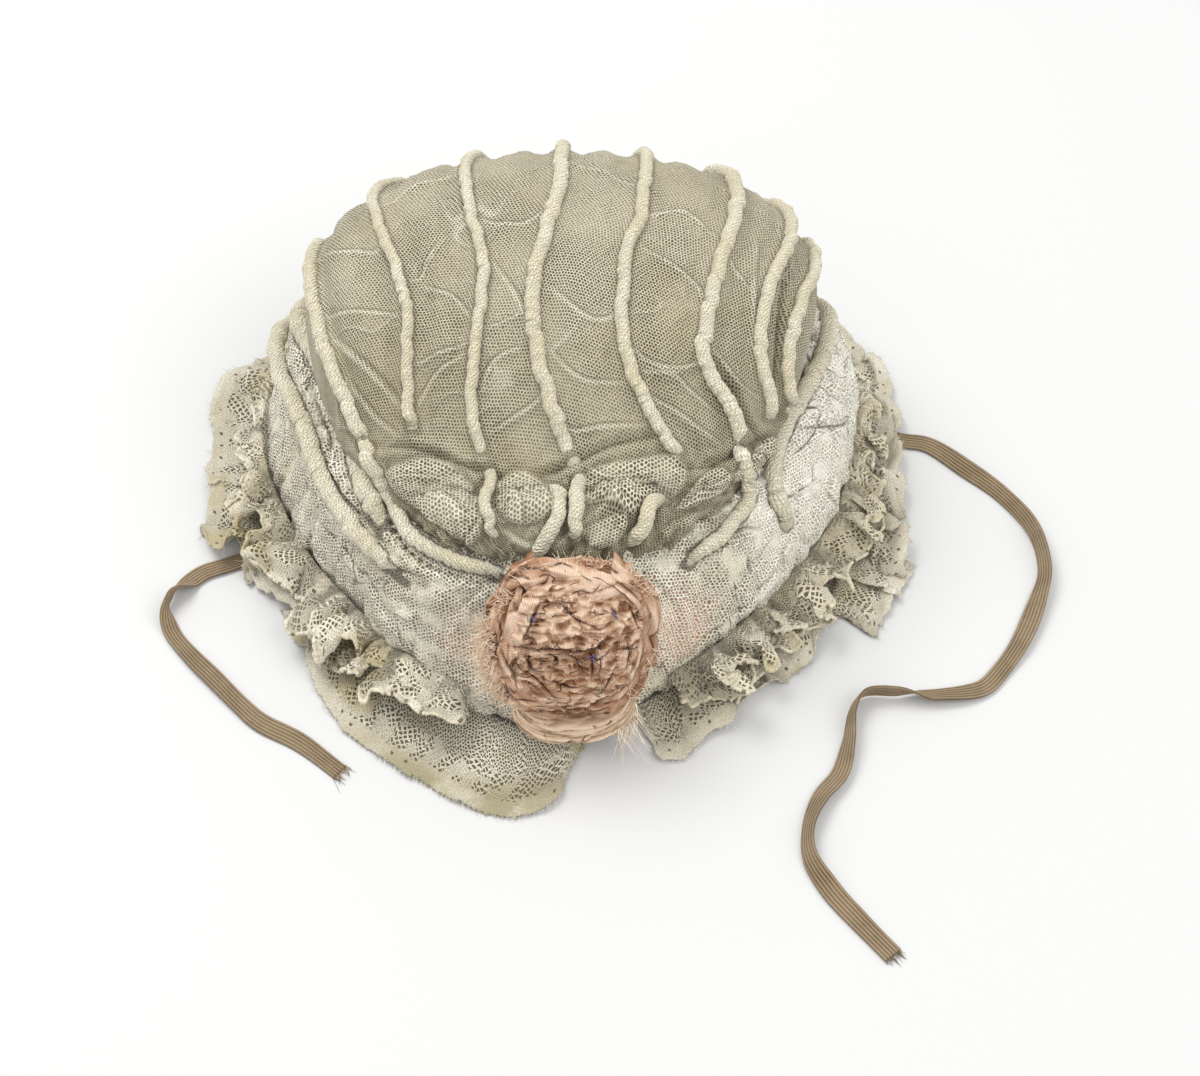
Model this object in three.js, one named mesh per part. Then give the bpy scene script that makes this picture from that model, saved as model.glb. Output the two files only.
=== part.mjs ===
// Infant's corded net bonnet, lying on its opening. Millimetres, +Z up, the rosette faces -Y.
import * as THREE from 'three';

const HALF_WIDTH = 79;      // head opening, outer edge, side to middle
const HALF_LENGTH = 83;     // head opening, outer edge, front to middle
const CENTRE_Y = 10;        // middle of the opening lies this far behind the origin
const CROWN_HEIGHT = 75;    // table to the top of the net
const FOOT_Z = 1.2;         // lower end of the roll's section
const ROLL_HALF = 9;        // half thickness of the padded roll at the front
const NET_WALL = 1.2;       // crown net with its gathers
const LACE_WALL = 1.2;      // ruffle and heading frill
const SILK_WALL = 1.2;      // loose petal of the rosette
const CORD_RADIUS = 2;
const TIE_WIDTH = 5;
const TIE_THICKNESS = 1;
const PRESSED = 0.35;       // lace this close to the table is pressed flat on it
const CLEAR = 0.4;          // gap between neighbouring pieces
const SEAM = 0.6;           // crown's lower edge above the top of the roll
const SAG = 0.5;            // flat facets of the roll lie this far inside its smooth shape
const TURN = Math.PI * 2;

const radians = (degrees) => (degrees * Math.PI) / 180;
const clamp = (x, low, high) => Math.min(Math.max(x, low), high);
const smooth = (low, high, x) => {
  const t = clamp((x - low) / (high - low), 0, 1);
  return t * t * (3 - 2 * t);
};
const span = (count, low, high) => Array.from({ length: count + 1 }, (_, i) => low + ((high - low) * i) / count);

/** Smooth curve through one column of a table; the first column holds the station. */
function read(rows, column, x) {
  const last = rows.length - 1;
  let i = 0;
  while (i < last - 1 && x > rows[i + 1][0]) i += 1;
  const slope = (k) => {
    if (k <= 0 || k >= last) return 0;
    return (rows[k + 1][column] - rows[k - 1][column]) / (rows[k + 1][0] - rows[k - 1][0]);
  };
  const width = rows[i + 1][0] - rows[i][0];
  const t = clamp((x - rows[i][0]) / width, 0, 1);
  const a = rows[i][column];
  const b = rows[i + 1][column];
  const h = t * t * (3 - 2 * t);
  return a + (b - a) * h + width * t * (1 - t) * ((1 - t) * slope(i) - t * slope(i + 1));
}

/** Closed body from faces and the vertices of its upper and lower side. */
function closeFaces(upper, lower, faces) {
  const count = upper.length;
  const edges = new Map();
  for (const face of faces) {
    for (let k = 0; k < 3; k += 1) {
      const from = face[k];
      const to = face[(k + 1) % 3];
      if (!edges.delete(`${to} ${from}`)) edges.set(`${from} ${to}`, [from, to]);
    }
  }
  const index = [];
  for (const [a, b, c] of faces) {
    index.push(a, b, c, count + a, count + c, count + b);
  }
  for (const [from, to] of edges.values()) {
    index.push(to, from, count + from, to, count + from, count + to);
  }
  return bodyOf([...upper, ...lower], index);
}

function bodyOf(points, index) {
  const geometry = new THREE.BufferGeometry().setFromPoints(points);
  geometry.setIndex(index);
  geometry.computeVertexNormals();
  return geometry;
}

/** Thin sheet round a grid of middle points, closed on its four edges and pressed flat by a floor. */
function sheet(grid, wall, floor = -Infinity) {
  const columns = grid.length;
  const rows = grid[0].length;
  const upper = [];
  const lower = [];
  const faces = [];
  for (let i = 0; i < columns; i += 1) {
    for (let j = 0; j < rows; j += 1) {
      const along = grid[Math.min(i + 1, columns - 1)][j].clone().sub(grid[Math.max(i - 1, 0)][j]);
      const across = grid[i][Math.min(j + 1, rows - 1)].clone().sub(grid[i][Math.max(j - 1, 0)]);
      const half = along.cross(across).setLength(wall / 2);
      const top = grid[i][j].clone().add(half);
      const bottom = grid[i][j].clone().sub(half);
      if (bottom.z < floor + PRESSED) bottom.z = floor;
      top.z = Math.max(top.z, floor + wall);
      upper.push(top);
      lower.push(bottom);
    }
  }
  for (let i = 0; i < columns - 1; i += 1) {
    for (let j = 0; j < rows - 1; j += 1) {
      const a = i * rows + j;
      faces.push([a, a + rows, a + rows + 1], [a, a + rows + 1, a + 1]);
    }
  }
  return closeFaces(upper, lower, faces);
}

/** Ring of sections joined to themselves, like a tyre. */
function tyre(point, around, section) {
  const points = [];
  const index = [];
  for (let i = 0; i < around; i += 1) {
    for (let j = 0; j < section; j += 1) {
      points.push(point((TURN * i) / around, (TURN * j) / section));
      const a = i * section + j;
      const b = ((i + 1) % around) * section + j;
      const c = ((i + 1) % around) * section + ((j + 1) % section);
      const d = i * section + ((j + 1) % section);
      index.push(a, b, c, a, c, d);
    }
  }
  return bodyOf(points, index);
}

/** Body between two poles, a ring of points per station. */
function bud(point, around, stations) {
  const points = [point(0, 0)];
  const index = [];
  for (let j = 1; j < stations; j += 1) {
    for (let i = 0; i < around; i += 1) points.push(point((TURN * i) / around, j));
  }
  points.push(point(0, stations));
  const at = (i, j) => 1 + (j - 1) * around + (i % around);
  for (let i = 0; i < around; i += 1) {
    index.push(0, at(i + 1, 1), at(i, 1));
    for (let j = 1; j < stations - 1; j += 1) {
      index.push(at(i, j), at(i + 1, j), at(i + 1, j + 1), at(i, j), at(i + 1, j + 1), at(i, j + 1));
    }
    index.push(at(i, stations - 1), at(i + 1, stations - 1), points.length - 1);
  }
  return bodyOf(points, index);
}

/** Tube whose rings stand exactly on the given points. */
function tube(points, outline) {
  const path = new THREE.CatmullRomCurve3(points);
  path.getUtoTmapping = (t) => t;
  return new THREE.ExtrudeGeometry(new THREE.Shape(outline), {
    steps: points.length - 1,
    bevelEnabled: false,
    extrudePath: path,
  });
}

const CORD_OUTLINE = span(6, 0, TURN).slice(0, 6)
  .map((t) => new THREE.Vector2(CORD_RADIUS * Math.cos(t), CORD_RADIUS * Math.sin(t)));

const bonnet = new THREE.Group();
bonnet.name = 'lace_bonnet';

function add(name, geometry, color, roughness) {
  const material = new THREE.MeshStandardMaterial({ color, roughness, metalness: 0 });
  const mesh = new THREE.Mesh(geometry, material);
  mesh.name = name;
  bonnet.add(mesh);
}

// Outline of the head opening and of the crown's rim, by bearing from the front, both sides alike.
// Foot and rim are shares of HALF_WIDTH and HALF_LENGTH, height of CROWN_HEIGHT, roll of ROLL_HALF.
const OUTLINE = [
  // bearing, foot, rim, height, roll
  [0, 1.036, 0.735, 0.527, 1.00],
  [15, 0.960, 0.745, 0.527, 1.00],
  [30, 0.885, 0.755, 0.537, 1.00],
  [45, 0.845, 0.760, 0.548, 1.00],
  [60, 0.855, 0.765, 0.558, 1.00],
  [75, 0.905, 0.775, 0.569, 0.95],
  [90, 0.965, 0.815, 0.569, 0.85],
  [105, 1.030, 0.885, 0.548, 0.70],
  [120, 1.060, 0.945, 0.463, 0.55],
  [135, 1.050, 0.965, 0.358, 0.45],
  [150, 1.010, 0.945, 0.274, 0.40],
  [165, 0.975, 0.925, 0.221, 0.36],
  [180, 0.960, 0.920, 0.211, 0.35],
];
const [FOOT, RIM, HEIGHT, ROLL] = [1, 2, 3, 4];

/** Table column at a bearing in radians of either sign. */
function outline(column, bearing) {
  const degrees = Math.abs((bearing * 180) / Math.PI) % 360;
  return read(OUTLINE, column, degrees > 180 ? 360 - degrees : degrees);
}

function ring(bearing, share, z) {
  const x = share * HALF_WIDTH * Math.sin(bearing);
  const y = CENTRE_Y - share * HALF_LENGTH * Math.cos(bearing);
  return new THREE.Vector3(x, y, z);
}

const footAt = (bearing) => ring(bearing, outline(FOOT, bearing), FOOT_Z);
const rimAt = (bearing) => ring(bearing, outline(RIM, bearing), outline(HEIGHT, bearing) * CROWN_HEIGHT);

/** Middle, upward and outward direction and half sizes of the roll's section. */
function rollFrame(bearing) {
  const step = 0.001;
  const foot = footAt(bearing);
  const rim = rimAt(bearing);
  const up = rim.clone().sub(foot);
  const half = up.length() / 2;
  up.normalize();
  const along = rimAt(bearing + step).add(footAt(bearing + step));
  along.sub(rimAt(bearing - step)).sub(footAt(bearing - step));
  const out = along.cross(up).normalize();
  const lumps = 1 + 0.05 * Math.sin(11 * bearing + 0.6) + 0.04 * Math.sin(7 * bearing);
  return { middle: foot.add(rim).multiplyScalar(0.5), up, out, half, thick: ROLL_HALF * outline(ROLL, bearing) * lumps };
}

/** Point on the padded roll; turn 0 is its outer flank and a quarter turn its upper edge. */
function rollPoint(bearing, turn, lift = 0) {
  const { middle, up, out, half, thick } = rollFrame(bearing);
  const fullness = 0.85;
  const side = Math.sign(Math.cos(turn)) * Math.abs(Math.cos(turn)) ** fullness;
  return middle
    .addScaledVector(out, side * (thick + lift))
    .addScaledVector(up, Math.sin(turn) * (half + lift));
}

add('padded_front_roll', tyre((bearing, turn) => rollPoint(bearing, turn), 60, 10), 0xd9cfc2, 0.9);

// Height of the crown's middle line from front to back: shares of HALF_LENGTH and CROWN_HEIGHT.
// The dip behind the front puffs is where the net is drawn in.
const CROWN_LINE = [
  // y, height
  [-0.72, 0.667],
  [-0.60, 0.693],
  [-0.53, 0.707],
  [-0.45, 0.640],
  [-0.36, 0.680],
  [-0.24, 0.767],
  [0.00, 0.893],
  [0.24, 0.973],
  [0.48, 0.993],
  [0.72, 0.973],
  [1.14, 0.933],
];
const APEX_Y = 27;          // highest part of the crown behind the origin
const APEX_X = 3;           // and how far it has slumped to its left
const SHOULDER = 2.9;       // squareness of the crown's shoulders
const PUFF = 2;             // net standing up between two cords
const FULL_SPACING = 0.35;  // cord spacing, in shares of the crown, that puffs fully

// Sideways place of the eight cords, share of the half width, by station from front to back.
const CORD_LINES = [
  // station, then cords 1 to 8 from left to right
  [-1.00, -0.80, -0.55, -0.34, 0.08, 0.48, 0.71, 0.85, 0.95],
  [-0.85, -0.79, -0.53, -0.30, 0.07, 0.48, 0.71, 0.85, 0.95],
  [-0.70, -0.76, -0.50, -0.29, 0.05, 0.47, 0.71, 0.85, 0.95],
  [-0.55, -0.74, -0.50, -0.25, 0.04, 0.43, 0.67, 0.83, 0.94],
  [-0.40, -0.75, -0.49, -0.28, -0.04, 0.26, 0.55, 0.74, 0.88],
  [-0.25, -0.78, -0.47, -0.26, -0.09, 0.16, 0.40, 0.63, 0.77],
  [-0.10, -0.80, -0.45, -0.23, -0.09, 0.15, 0.40, 0.58, 0.72],
  [0.05, -0.80, -0.46, -0.22, -0.04, 0.16, 0.40, 0.58, 0.73],
  [0.20, -0.80, -0.48, -0.23, -0.02, 0.17, 0.41, 0.61, 0.76],
  [0.40, -0.80, -0.52, -0.26, -0.02, 0.20, 0.43, 0.64, 0.80],
  [1.00, -0.80, -0.54, -0.28, -0.01, 0.25, 0.48, 0.68, 0.84],
];
const CORD_COUNT = CORD_LINES[0].length - 1;
const CROWN_STATIONS = [
  -1, -0.93, -0.86, -0.79, -0.72, -0.66, -0.6, -0.54, -0.48, -0.4,
  -0.3, -0.2, -0.1, 0, 0.12, 0.25, 0.4, 0.55, 0.7, 0.85, 1,
];

/** Crown without its puffs; side and station run from -1 to 1 over a square laid on the dome. */
function dome(side, station) {
  const p = side * Math.sqrt(1 - (station * station) / 2);
  const q = station * Math.sqrt(1 - (side * side) / 2);
  const bearing = Math.atan2(p, -q);
  const spread = Math.sin((Math.min(Math.hypot(p, q), 1) * Math.PI) / 2);
  const rise = (1 - Math.min(spread, 1) ** SHOULDER) ** (1 / SHOULDER);
  const edge = rollPoint(bearing, Math.PI / 2, SEAM);
  const y = APEX_Y + (edge.y - APEX_Y) * spread;
  const top = read(CROWN_LINE, 1, y / HALF_LENGTH) * CROWN_HEIGHT;
  return new THREE.Vector3(edge.x * spread + APEX_X * rise, y, edge.z + (top - edge.z) * rise);
}

function domeNormal(side, station) {
  const step = 0.004;
  const s = clamp(side, step - 1, 1 - step);
  const t = clamp(station, step - 1, 1 - step);
  const across = dome(s + step, t).sub(dome(s - step, t));
  const along = dome(s, t + step).sub(dome(s, t - step));
  return across.cross(along).normalize();
}

/** Net of the crown; lane counts the cords from 0 at the left rim to 9 at the right one. */
function crownPoint(lane, station, lift = 0) {
  const left = Math.min(Math.floor(lane), CORD_COUNT);
  const place = (k) => {
    if (k < 1) return -1;
    return k > CORD_COUNT ? 1 : read(CORD_LINES, k, station);
  };
  const part = lane - left;
  const spacing = place(left + 1) - place(left);
  const side = place(left) + spacing * part;
  const ends = (1 - side ** 6) * (1 - station ** 6);
  const puff = PUFF * Math.min(1, spacing / FULL_SPACING) * Math.sin(Math.PI * part) ** 2 * ends;
  return dome(side, station).addScaledVector(domeNormal(side, station), puff + lift);
}

const LANES = [0, 0.5, ...span(28, 1, CORD_COUNT), CORD_COUNT + 0.5, CORD_COUNT + 1];
const crownGrid = LANES.map((lane) => CROWN_STATIONS.map((station) => crownPoint(lane, station)));
add('net_crown', sheet(crownGrid, NET_WALL), 0xc9c2ae, 0.95);

// Cords sewn over the crown: where each begins at the front and ends at the back.
const CORD_RUNS = [
  // lane, front station, back station
  [1, -0.93, 0.70],
  [2, -0.48, 0.85],
  [3, -0.93, 0.85],
  [4, -0.93, 0.85],
  [5, -0.60, 0.85],
  [6, -0.79, 0.85],
  [7, -0.40, 0.85],
  [8, -0.40, 0.55],
];
const CORD_LIFT = NET_WALL / 2 + CORD_RADIUS + CLEAR + 0.2;

function crownCord(lane, front, back) {
  const stations = CROWN_STATIONS.filter((station) => station >= front && station <= back);
  return tube(stations.map((station) => crownPoint(lane, station, CORD_LIFT)), CORD_OUTLINE);
}

CORD_RUNS.forEach(([lane, front, back]) => {
  add(`crown_cord_${lane}`, crownCord(lane, front, back), 0xd2cbb8, 0.9);
});
add('puff_cord_left', crownCord(3.5, -0.93, -0.6), 0xd2cbb8, 0.9);
add('puff_cord_right', crownCord(4.5, -0.93, -0.6), 0xd2cbb8, 0.9);

// Cords along the padded roll: bearings and turn about its section, in degrees.
const ROLL_CORDS = [
  // name, from, to, turn at the first end, turn at the last end
  ['roll_cord_left_inner', -118, -40, 52, 40],
  ['roll_cord_left_outer', -118, -34, 14, 24],
  ['roll_cord_right_inner', 58, 118, 50, 50],
];

for (const [name, from, to, first, last] of ROLL_CORDS) {
  const route = span(12, 0, 1).map((t) => {
    const turn = radians(first + (last - first) * t);
    return rollPoint(radians(from + (to - from) * t), turn, CORD_RADIUS + CLEAR - SAG / 3);
  });
  add(name, tube(route, CORD_OUTLINE), 0xd8d2c2, 0.9);
}

// Free edge of the lace ruffle by bearing, minus to its left: reach is a share of the opening's
// half sizes, crumple the height of its folds in shares of FOLD_HEIGHT.
const RUFFLE_EDGE = [
  // bearing, reach, crumple
  [-346, 0.990, 0.25],
  [-343, 1.197, 0.25],
  [-328, 1.102, 0.45],
  [-309, 1.148, 0.80],
  [-295, 1.236, 1.00],
  [-280, 1.205, 0.80],
  [-264, 1.207, 0.60],
  [-250, 1.271, 0.35],
  [-242, 1.230, 0.50],
  [-180, 1.200, 0.55],
  [-118, 1.215, 0.50],
  [-106, 1.313, 0.20],
  [-94, 1.237, 0.30],
  [-78, 1.209, 0.90],
  [-71, 1.170, 1.00],
  [-56, 1.039, 0.90],
  [-47, 1.121, 0.35],
  [-38, 1.194, 0.12],
  [-22, 1.277, 0.03],
  [-6, 1.346, 0.03],
  [1, 1.253, 0.03],
  [4, 1.096, 0.03],
];
const [REACH, CRUMPLE] = [1, 2];
const FOLD_HEIGHT = 8;
const FOLD_SPACING = 10.5;  // degrees of bearing from one fold of the ruffle to the next
const TIE_TUNNEL = 1.6;     // the lace is lifted by this much where a tie comes out under it

// Routes of the two ties over the table, middle line, from under the ruffle to the cut end.
const LEFT_TIE = [
  [-73, -16], [-79, -18.6], [-88.4, -22.8], [-95.4, -26.2], [-101.1, -33.5], [-102.3, -38.5],
  [-100.4, -45], [-94.8, -52.3], [-87.4, -60.2], [-80.2, -67.9], [-74.1, -73.4], [-64, -79.1],
  [-53.3, -87.9],
];
const RIGHT_TIE = [
  [85.5, 24.6], [96, 21.5], [103.4, 19.3], [112.2, 10.8], [120.8, 1.7], [127.4, -10.7],
  [129.1, -24.5], [126.4, -34.5], [120.5, -47.6], [113.6, -57.7], [107.8, -63.3], [97.4, -65.5],
  [87.2, -65.5], [78.3, -65.8], [74.6, -71], [72.9, -80], [70.3, -88.8], [64.9, -96],
  [61.4, -104.5], [61.3, -112.8], [65.6, -120.9], [72, -129.4], [79, -138],
];

/** Lift of the lace over the hidden first length of a tie. */
function tunnel(x, y) {
  let lift = 0;
  for (const [from, to] of [[LEFT_TIE[0], LEFT_TIE[3]], [RIGHT_TIE[0], RIGHT_TIE[2]]]) {
    const [dx, dy] = [to[0] - from[0], to[1] - from[1]];
    const away = Math.abs((x - from[0]) * dy - (y - from[1]) * dx) / Math.hypot(dx, dy);
    const ahead = (x - from[0]) * dx + (y - from[1]) * dy > -10 * Math.hypot(dx, dy);
    if (ahead) lift = Math.max(lift, TIE_TUNNEL * (1 - smooth(TIE_WIDTH * 0.75, TIE_WIDTH * 1.8, away)));
  }
  return lift;
}

/** Point on the ruffle; out runs from 0 at the roll to 1 at the free edge. */
function rufflePoint(bearing, out) {
  const angle = radians(bearing);
  const inner = rollPoint(angle, radians(-76), CLEAR + LACE_WALL - SAG);
  const outer = ring(angle, read(RUFFLE_EDGE, REACH, bearing), LACE_WALL / 2);
  const point = inner.clone().lerp(outer, out);
  const lies = LACE_WALL / 2 + (inner.z - LACE_WALL / 2) * (1 - smooth(0, 0.45, out));
  const wave = Math.sin((TURN * bearing) / FOLD_SPACING + 1.3 * Math.sin(radians(5 * bearing)));
  const fold = FOLD_HEIGHT * read(RUFFLE_EDGE, CRUMPLE, bearing) * (0.5 + 0.5 * wave) * smooth(0.1, 0.9, out);
  point.z = lies + Math.max(fold, tunnel(point.x, point.y) * smooth(0, 0.1, out));
  return point;
}

const ruffleGrid = span(119, -346, 4)
  .map((bearing) => span(5, 0, 1).map((out) => rufflePoint(bearing, 1 - out)));
add('lace_ruffle', sheet(ruffleGrid, LACE_WALL, 0), 0xbfb8a4, 0.95);

// Heading frill above the ruffle, in two lengths that leave room for the rosette.
const FRILL_REACH = 10;
const FRILL_FOLD = 3;
const FRILL_SPACING = 8.5;  // degrees of bearing from curl to curl

function frillPoint(bearing, out) {
  const angle = radians(bearing);
  const foot = rollPoint(angle, radians(-38), CLEAR + LACE_WALL - 2 * SAG);
  const { out: away } = rollFrame(angle);
  const ends = 1 - smooth(105, 128, Math.abs(bearing));
  const reach = FRILL_REACH * (0.75 + 0.25 * ends) * out;
  const curl = Math.sin((TURN * bearing) / FRILL_SPACING);
  foot.x += away.x * reach * 1.1;
  foot.y += away.y * reach * 1.1;
  foot.z += FRILL_FOLD * curl * smooth(0, 1, out) + 1.5 * out;
  return foot;
}

const frill = (from, to) => sheet(
  span(45, from, to).map((bearing) => span(3, 0, 1).map((out) => frillPoint(bearing, 1 - out))),
  LACE_WALL,
);
add('heading_frill_left', frill(-124, -21), 0xcbc4b2, 0.95);
add('heading_frill_right', frill(22, 124), 0xcbc4b2, 0.95);

// Rosette of wound silk ribbon, one fused body with a flat back, sewn to the roll's front flank.
const ROSETTE_RADIUS = 23;
const ROSETTE_DEPTH = 12;
const ROSETTE_BEARING = radians(2.6);
const ROSETTE_SLIDE = 4.5;   // up the roll's slope from its middle
const ROSETTE_PROFILE = [
  // radius, depth, and ripple of the winding there: shares of the radius, the depth, the depth
  [0.00, 0.00, 0.00],
  [0.55, 0.00, 0.00],
  [0.97, 0.00, 0.00],
  [1.00, 0.30, 0.04],
  [0.97, 0.55, 0.10],
  [0.86, 0.66, 0.08],
  [0.74, 0.50, 0.05],
  [0.67, 0.86, 0.08],
  [0.58, 0.88, 0.06],
  [0.47, 0.64, 0.04],
  [0.40, 1.00, 0.07],
  [0.30, 0.96, 0.05],
  [0.21, 0.70, 0.03],
  [0.12, 0.92, 0.03],
  [0.00, 0.80, 0.00],
];

const rollFront = rollFrame(ROSETTE_BEARING);
const rosetteBack = rollFront.middle.clone()
  .addScaledVector(rollFront.out, rollFront.thick + CLEAR / 2)
  .addScaledVector(rollFront.up, ROSETTE_SLIDE);
const rosetteSide = rollFront.up.clone().cross(rollFront.out).normalize();

/** Point in the rosette's own frame: to its right, up the slope, off the roll. */
function onRosette(right, up, off) {
  return rosetteBack.clone()
    .addScaledVector(rosetteSide, right)
    .addScaledVector(rollFront.up, up)
    .addScaledVector(rollFront.out, off);
}

function rosettePoint(angle, station) {
  const [radius, depth, ripple] = ROSETTE_PROFILE[station];
  const lobes = Math.sin(5 * angle + 4 * radius) + 0.6 * Math.sin(8 * angle - 9 * radius);
  const reach = ROSETTE_RADIUS * radius * (1 + 0.04 * Math.sin(7 * angle + 1) + 0.03 * Math.sin(3 * angle));
  return onRosette(reach * Math.cos(angle), reach * Math.sin(angle), ROSETTE_DEPTH * (depth + ripple * lobes));
}

add('rosette', bud(rosettePoint, 36, ROSETTE_PROFILE.length - 1), 0xc99a86, 0.6);

// Loose petal of the same ribbon that hangs out under the rosette.
const petalGrid = span(9, -125, -52).map((degrees) => span(3, 0.8, 1.25).map((share) => {
  const angle = radians(degrees);
  const reach = ROSETTE_RADIUS * share * (1 + 0.05 * Math.sin(6 * angle));
  const flare = 2.5 * smooth(1, 1.3, share) * (1 + 0.5 * Math.sin(9 * angle));
  return onRosette(reach * Math.cos(angle), reach * Math.sin(angle), flare - CLEAR - SILK_WALL / 2 - 0.25);
}));
add('rosette_petal', sheet(petalGrid.map((row) => row.reverse()).reverse(), SILK_WALL), 0xc08f7a, 0.6);

// Ties: flat ribbed ribbon lying on the table.
function tie(route) {
  const halfWidth = TIE_WIDTH / 2;
  const half = TIE_THICKNESS / 2;
  const bevel = TIE_THICKNESS / 4;
  const outline = [
    [half, halfWidth - bevel], [half - bevel, halfWidth], [bevel - half, halfWidth], [-half, halfWidth - bevel],
    [-half, bevel - halfWidth], [bevel - half, -halfWidth], [half - bevel, -halfWidth], [half, bevel - halfWidth],
  ].map(([x, y]) => new THREE.Vector2(x, y));
  return tube(route.map(([x, y]) => new THREE.Vector3(x, y, half + 0.1)), outline);
}

add('tie_left', tie(LEFT_TIE), 0x97805f, 0.85);
add('tie_right', tie(RIGHT_TIE), 0x97805f, 0.85);

export default bonnet;
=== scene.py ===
"""Infant's corded net bonnet with a lace ruffle and a silk rosette, lying on its opening.

The scene is in metres, +Z up, and the rosette faces -Y. From the roll on, shapes are worked out in
millimetres and scaled by MM. Sections follow the order in which the bonnet is put together.
"""
import math

import bpy
import numpy as np
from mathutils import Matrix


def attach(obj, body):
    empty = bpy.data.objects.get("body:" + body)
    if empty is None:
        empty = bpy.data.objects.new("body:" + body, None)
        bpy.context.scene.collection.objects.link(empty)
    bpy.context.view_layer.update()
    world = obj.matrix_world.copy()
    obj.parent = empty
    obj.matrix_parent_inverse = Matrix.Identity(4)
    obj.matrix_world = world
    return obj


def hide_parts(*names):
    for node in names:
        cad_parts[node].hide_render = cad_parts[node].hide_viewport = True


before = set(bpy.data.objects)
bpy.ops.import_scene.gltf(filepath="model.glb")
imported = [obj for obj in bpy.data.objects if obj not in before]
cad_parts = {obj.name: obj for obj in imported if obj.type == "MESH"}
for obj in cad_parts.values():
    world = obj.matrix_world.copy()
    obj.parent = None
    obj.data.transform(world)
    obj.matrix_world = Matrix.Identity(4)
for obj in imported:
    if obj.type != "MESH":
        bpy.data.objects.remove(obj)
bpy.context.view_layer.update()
MM = 0.001

# Camera: looks down on the front of the bonnet from about arm's length, 51 degrees above the table.
ELEVATION = math.radians(51)
AIM = np.array([0.011, -0.013, 0.0])
DISTANCE = 0.560
camera_data = bpy.data.cameras.new("camera")
camera_data.sensor_width = 36
camera_data.lens = 62.16
camera = bpy.data.objects.new("camera", camera_data)
camera.location = AIM + DISTANCE * np.array([0, -math.cos(ELEVATION), math.sin(ELEVATION)])
camera.rotation_euler = (math.pi / 2 - ELEVATION, 0, 0)
bpy.context.scene.collection.objects.link(camera)
bpy.context.scene.camera = camera
bpy.context.scene.view_settings.view_transform = "Standard"

# Ties: two lengths of narrow brown ribbed ribbon with cut ends, sewn under the edge of the ruffle.
# They lie loose on the table and turn over once or twice on the way.
TIE_WIDTH = 5 * MM
TIE_THICKNESS = 0.8 * MM
TIE_RIBS = 6
TIE_FACE_POINTS = 31
WEFT_PITCH = 0.42 * MM


def curve_through(points, count):
    """Catmull-Rom curve through the points, count samples at equal steps of length."""
    p = np.asarray(points, float)
    p = np.vstack([2 * p[0] - p[1], p, 2 * p[-1] - p[-2]])
    t = np.linspace(0, len(p) - 3 - 1e-9, 40 * len(p))
    i = t.astype(int)
    t = (t - i)[:, None]
    a, b, c, d = p[i], p[i + 1], p[i + 2], p[i + 3]
    line = 0.5 * (2 * b + (c - a) * t + (2 * a - 5 * b + 4 * c - d) * t**2 + (3 * (b - c) + d - a) * t**3)
    run = np.append(0, np.cumsum(np.linalg.norm(np.diff(line, axis=0), axis=1)))
    even = np.linspace(0, run[-1], count)
    return np.stack([np.interp(even, run, line[:, k]) for k in range(line.shape[1])], 1)


def unit(v):
    """Vectors scaled to length one."""
    return v / (np.linalg.norm(v, axis=-1, keepdims=True) + 1e-12)


def cloth_mesh(name, points, uv=None, ring=False, tube=False, flip=False, **marks):
    """Quads over a grid of points; ring joins the last row to the first, tube the last column to the first.

    A tube that isn't a ring has its two ends capped. Each mark is a value per point that the material reads
    by its name, such as deep, which is 1 in a closed fold and is painted dark there as shade.
    """
    rows, columns = points.shape[:2]
    i, j = np.meshgrid(np.arange(rows - 1 + ring), np.arange(columns - 1 + tube), indexing="ij")
    i = np.stack([i, i + 1, i + 1, i], -1).reshape(-1, 4)
    j = np.stack([j, j, j + 1, j + 1], -1).reshape(-1, 4)
    if flip:
        i, j = i[:, ::-1], j[:, ::-1]
    sizes = np.full(len(i), 4)
    i, j = i.ravel(), j.ravel()
    if tube and not ring:
        around = np.arange(columns) if flip else np.arange(columns)[::-1]
        i = np.concatenate([i, np.zeros(columns, int), np.full(columns, rows - 1)])
        j = np.concatenate([j, around[::-1], around])
        sizes = np.append(sizes, [columns, columns])
    mesh = bpy.data.meshes.new(name)
    mesh.vertices.add(rows * columns)
    mesh.vertices.foreach_set("co", points.astype(np.float32).ravel())
    mesh.loops.add(len(i))
    mesh.loops.foreach_set("vertex_index", ((i % rows) * columns + j % columns).astype(np.int32))
    mesh.polygons.add(len(sizes))
    mesh.polygons.foreach_set("loop_start", np.append(0, np.cumsum(sizes)[:-1]).astype(np.int32))
    mesh.polygons.foreach_set("use_smooth", np.ones(len(sizes), bool))
    if uv is not None:
        layer = mesh.uv_layers.new(name="thread")
        layer.data.foreach_set("uv", uv[i, j].astype(np.float32).ravel())
    for mark, values in marks.items():
        layer = mesh.attributes.new(mark, "FLOAT", "POINT")
        layer.data.foreach_set("value", values.astype(np.float32).ravel())
    mesh.update()
    mesh.validate()
    piece = bpy.data.objects.new(name, mesh)
    bpy.context.scene.collection.objects.link(piece)
    return piece


def sew(piece, material, slot, *nodes):
    """Gives the piece its cloth, hangs it on the root and hides the solids that it stands for. The slot is
    not used.
    """
    piece.data.materials.append(material)
    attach(piece, "root")
    if nodes:
        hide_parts(*nodes)
    return piece


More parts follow.
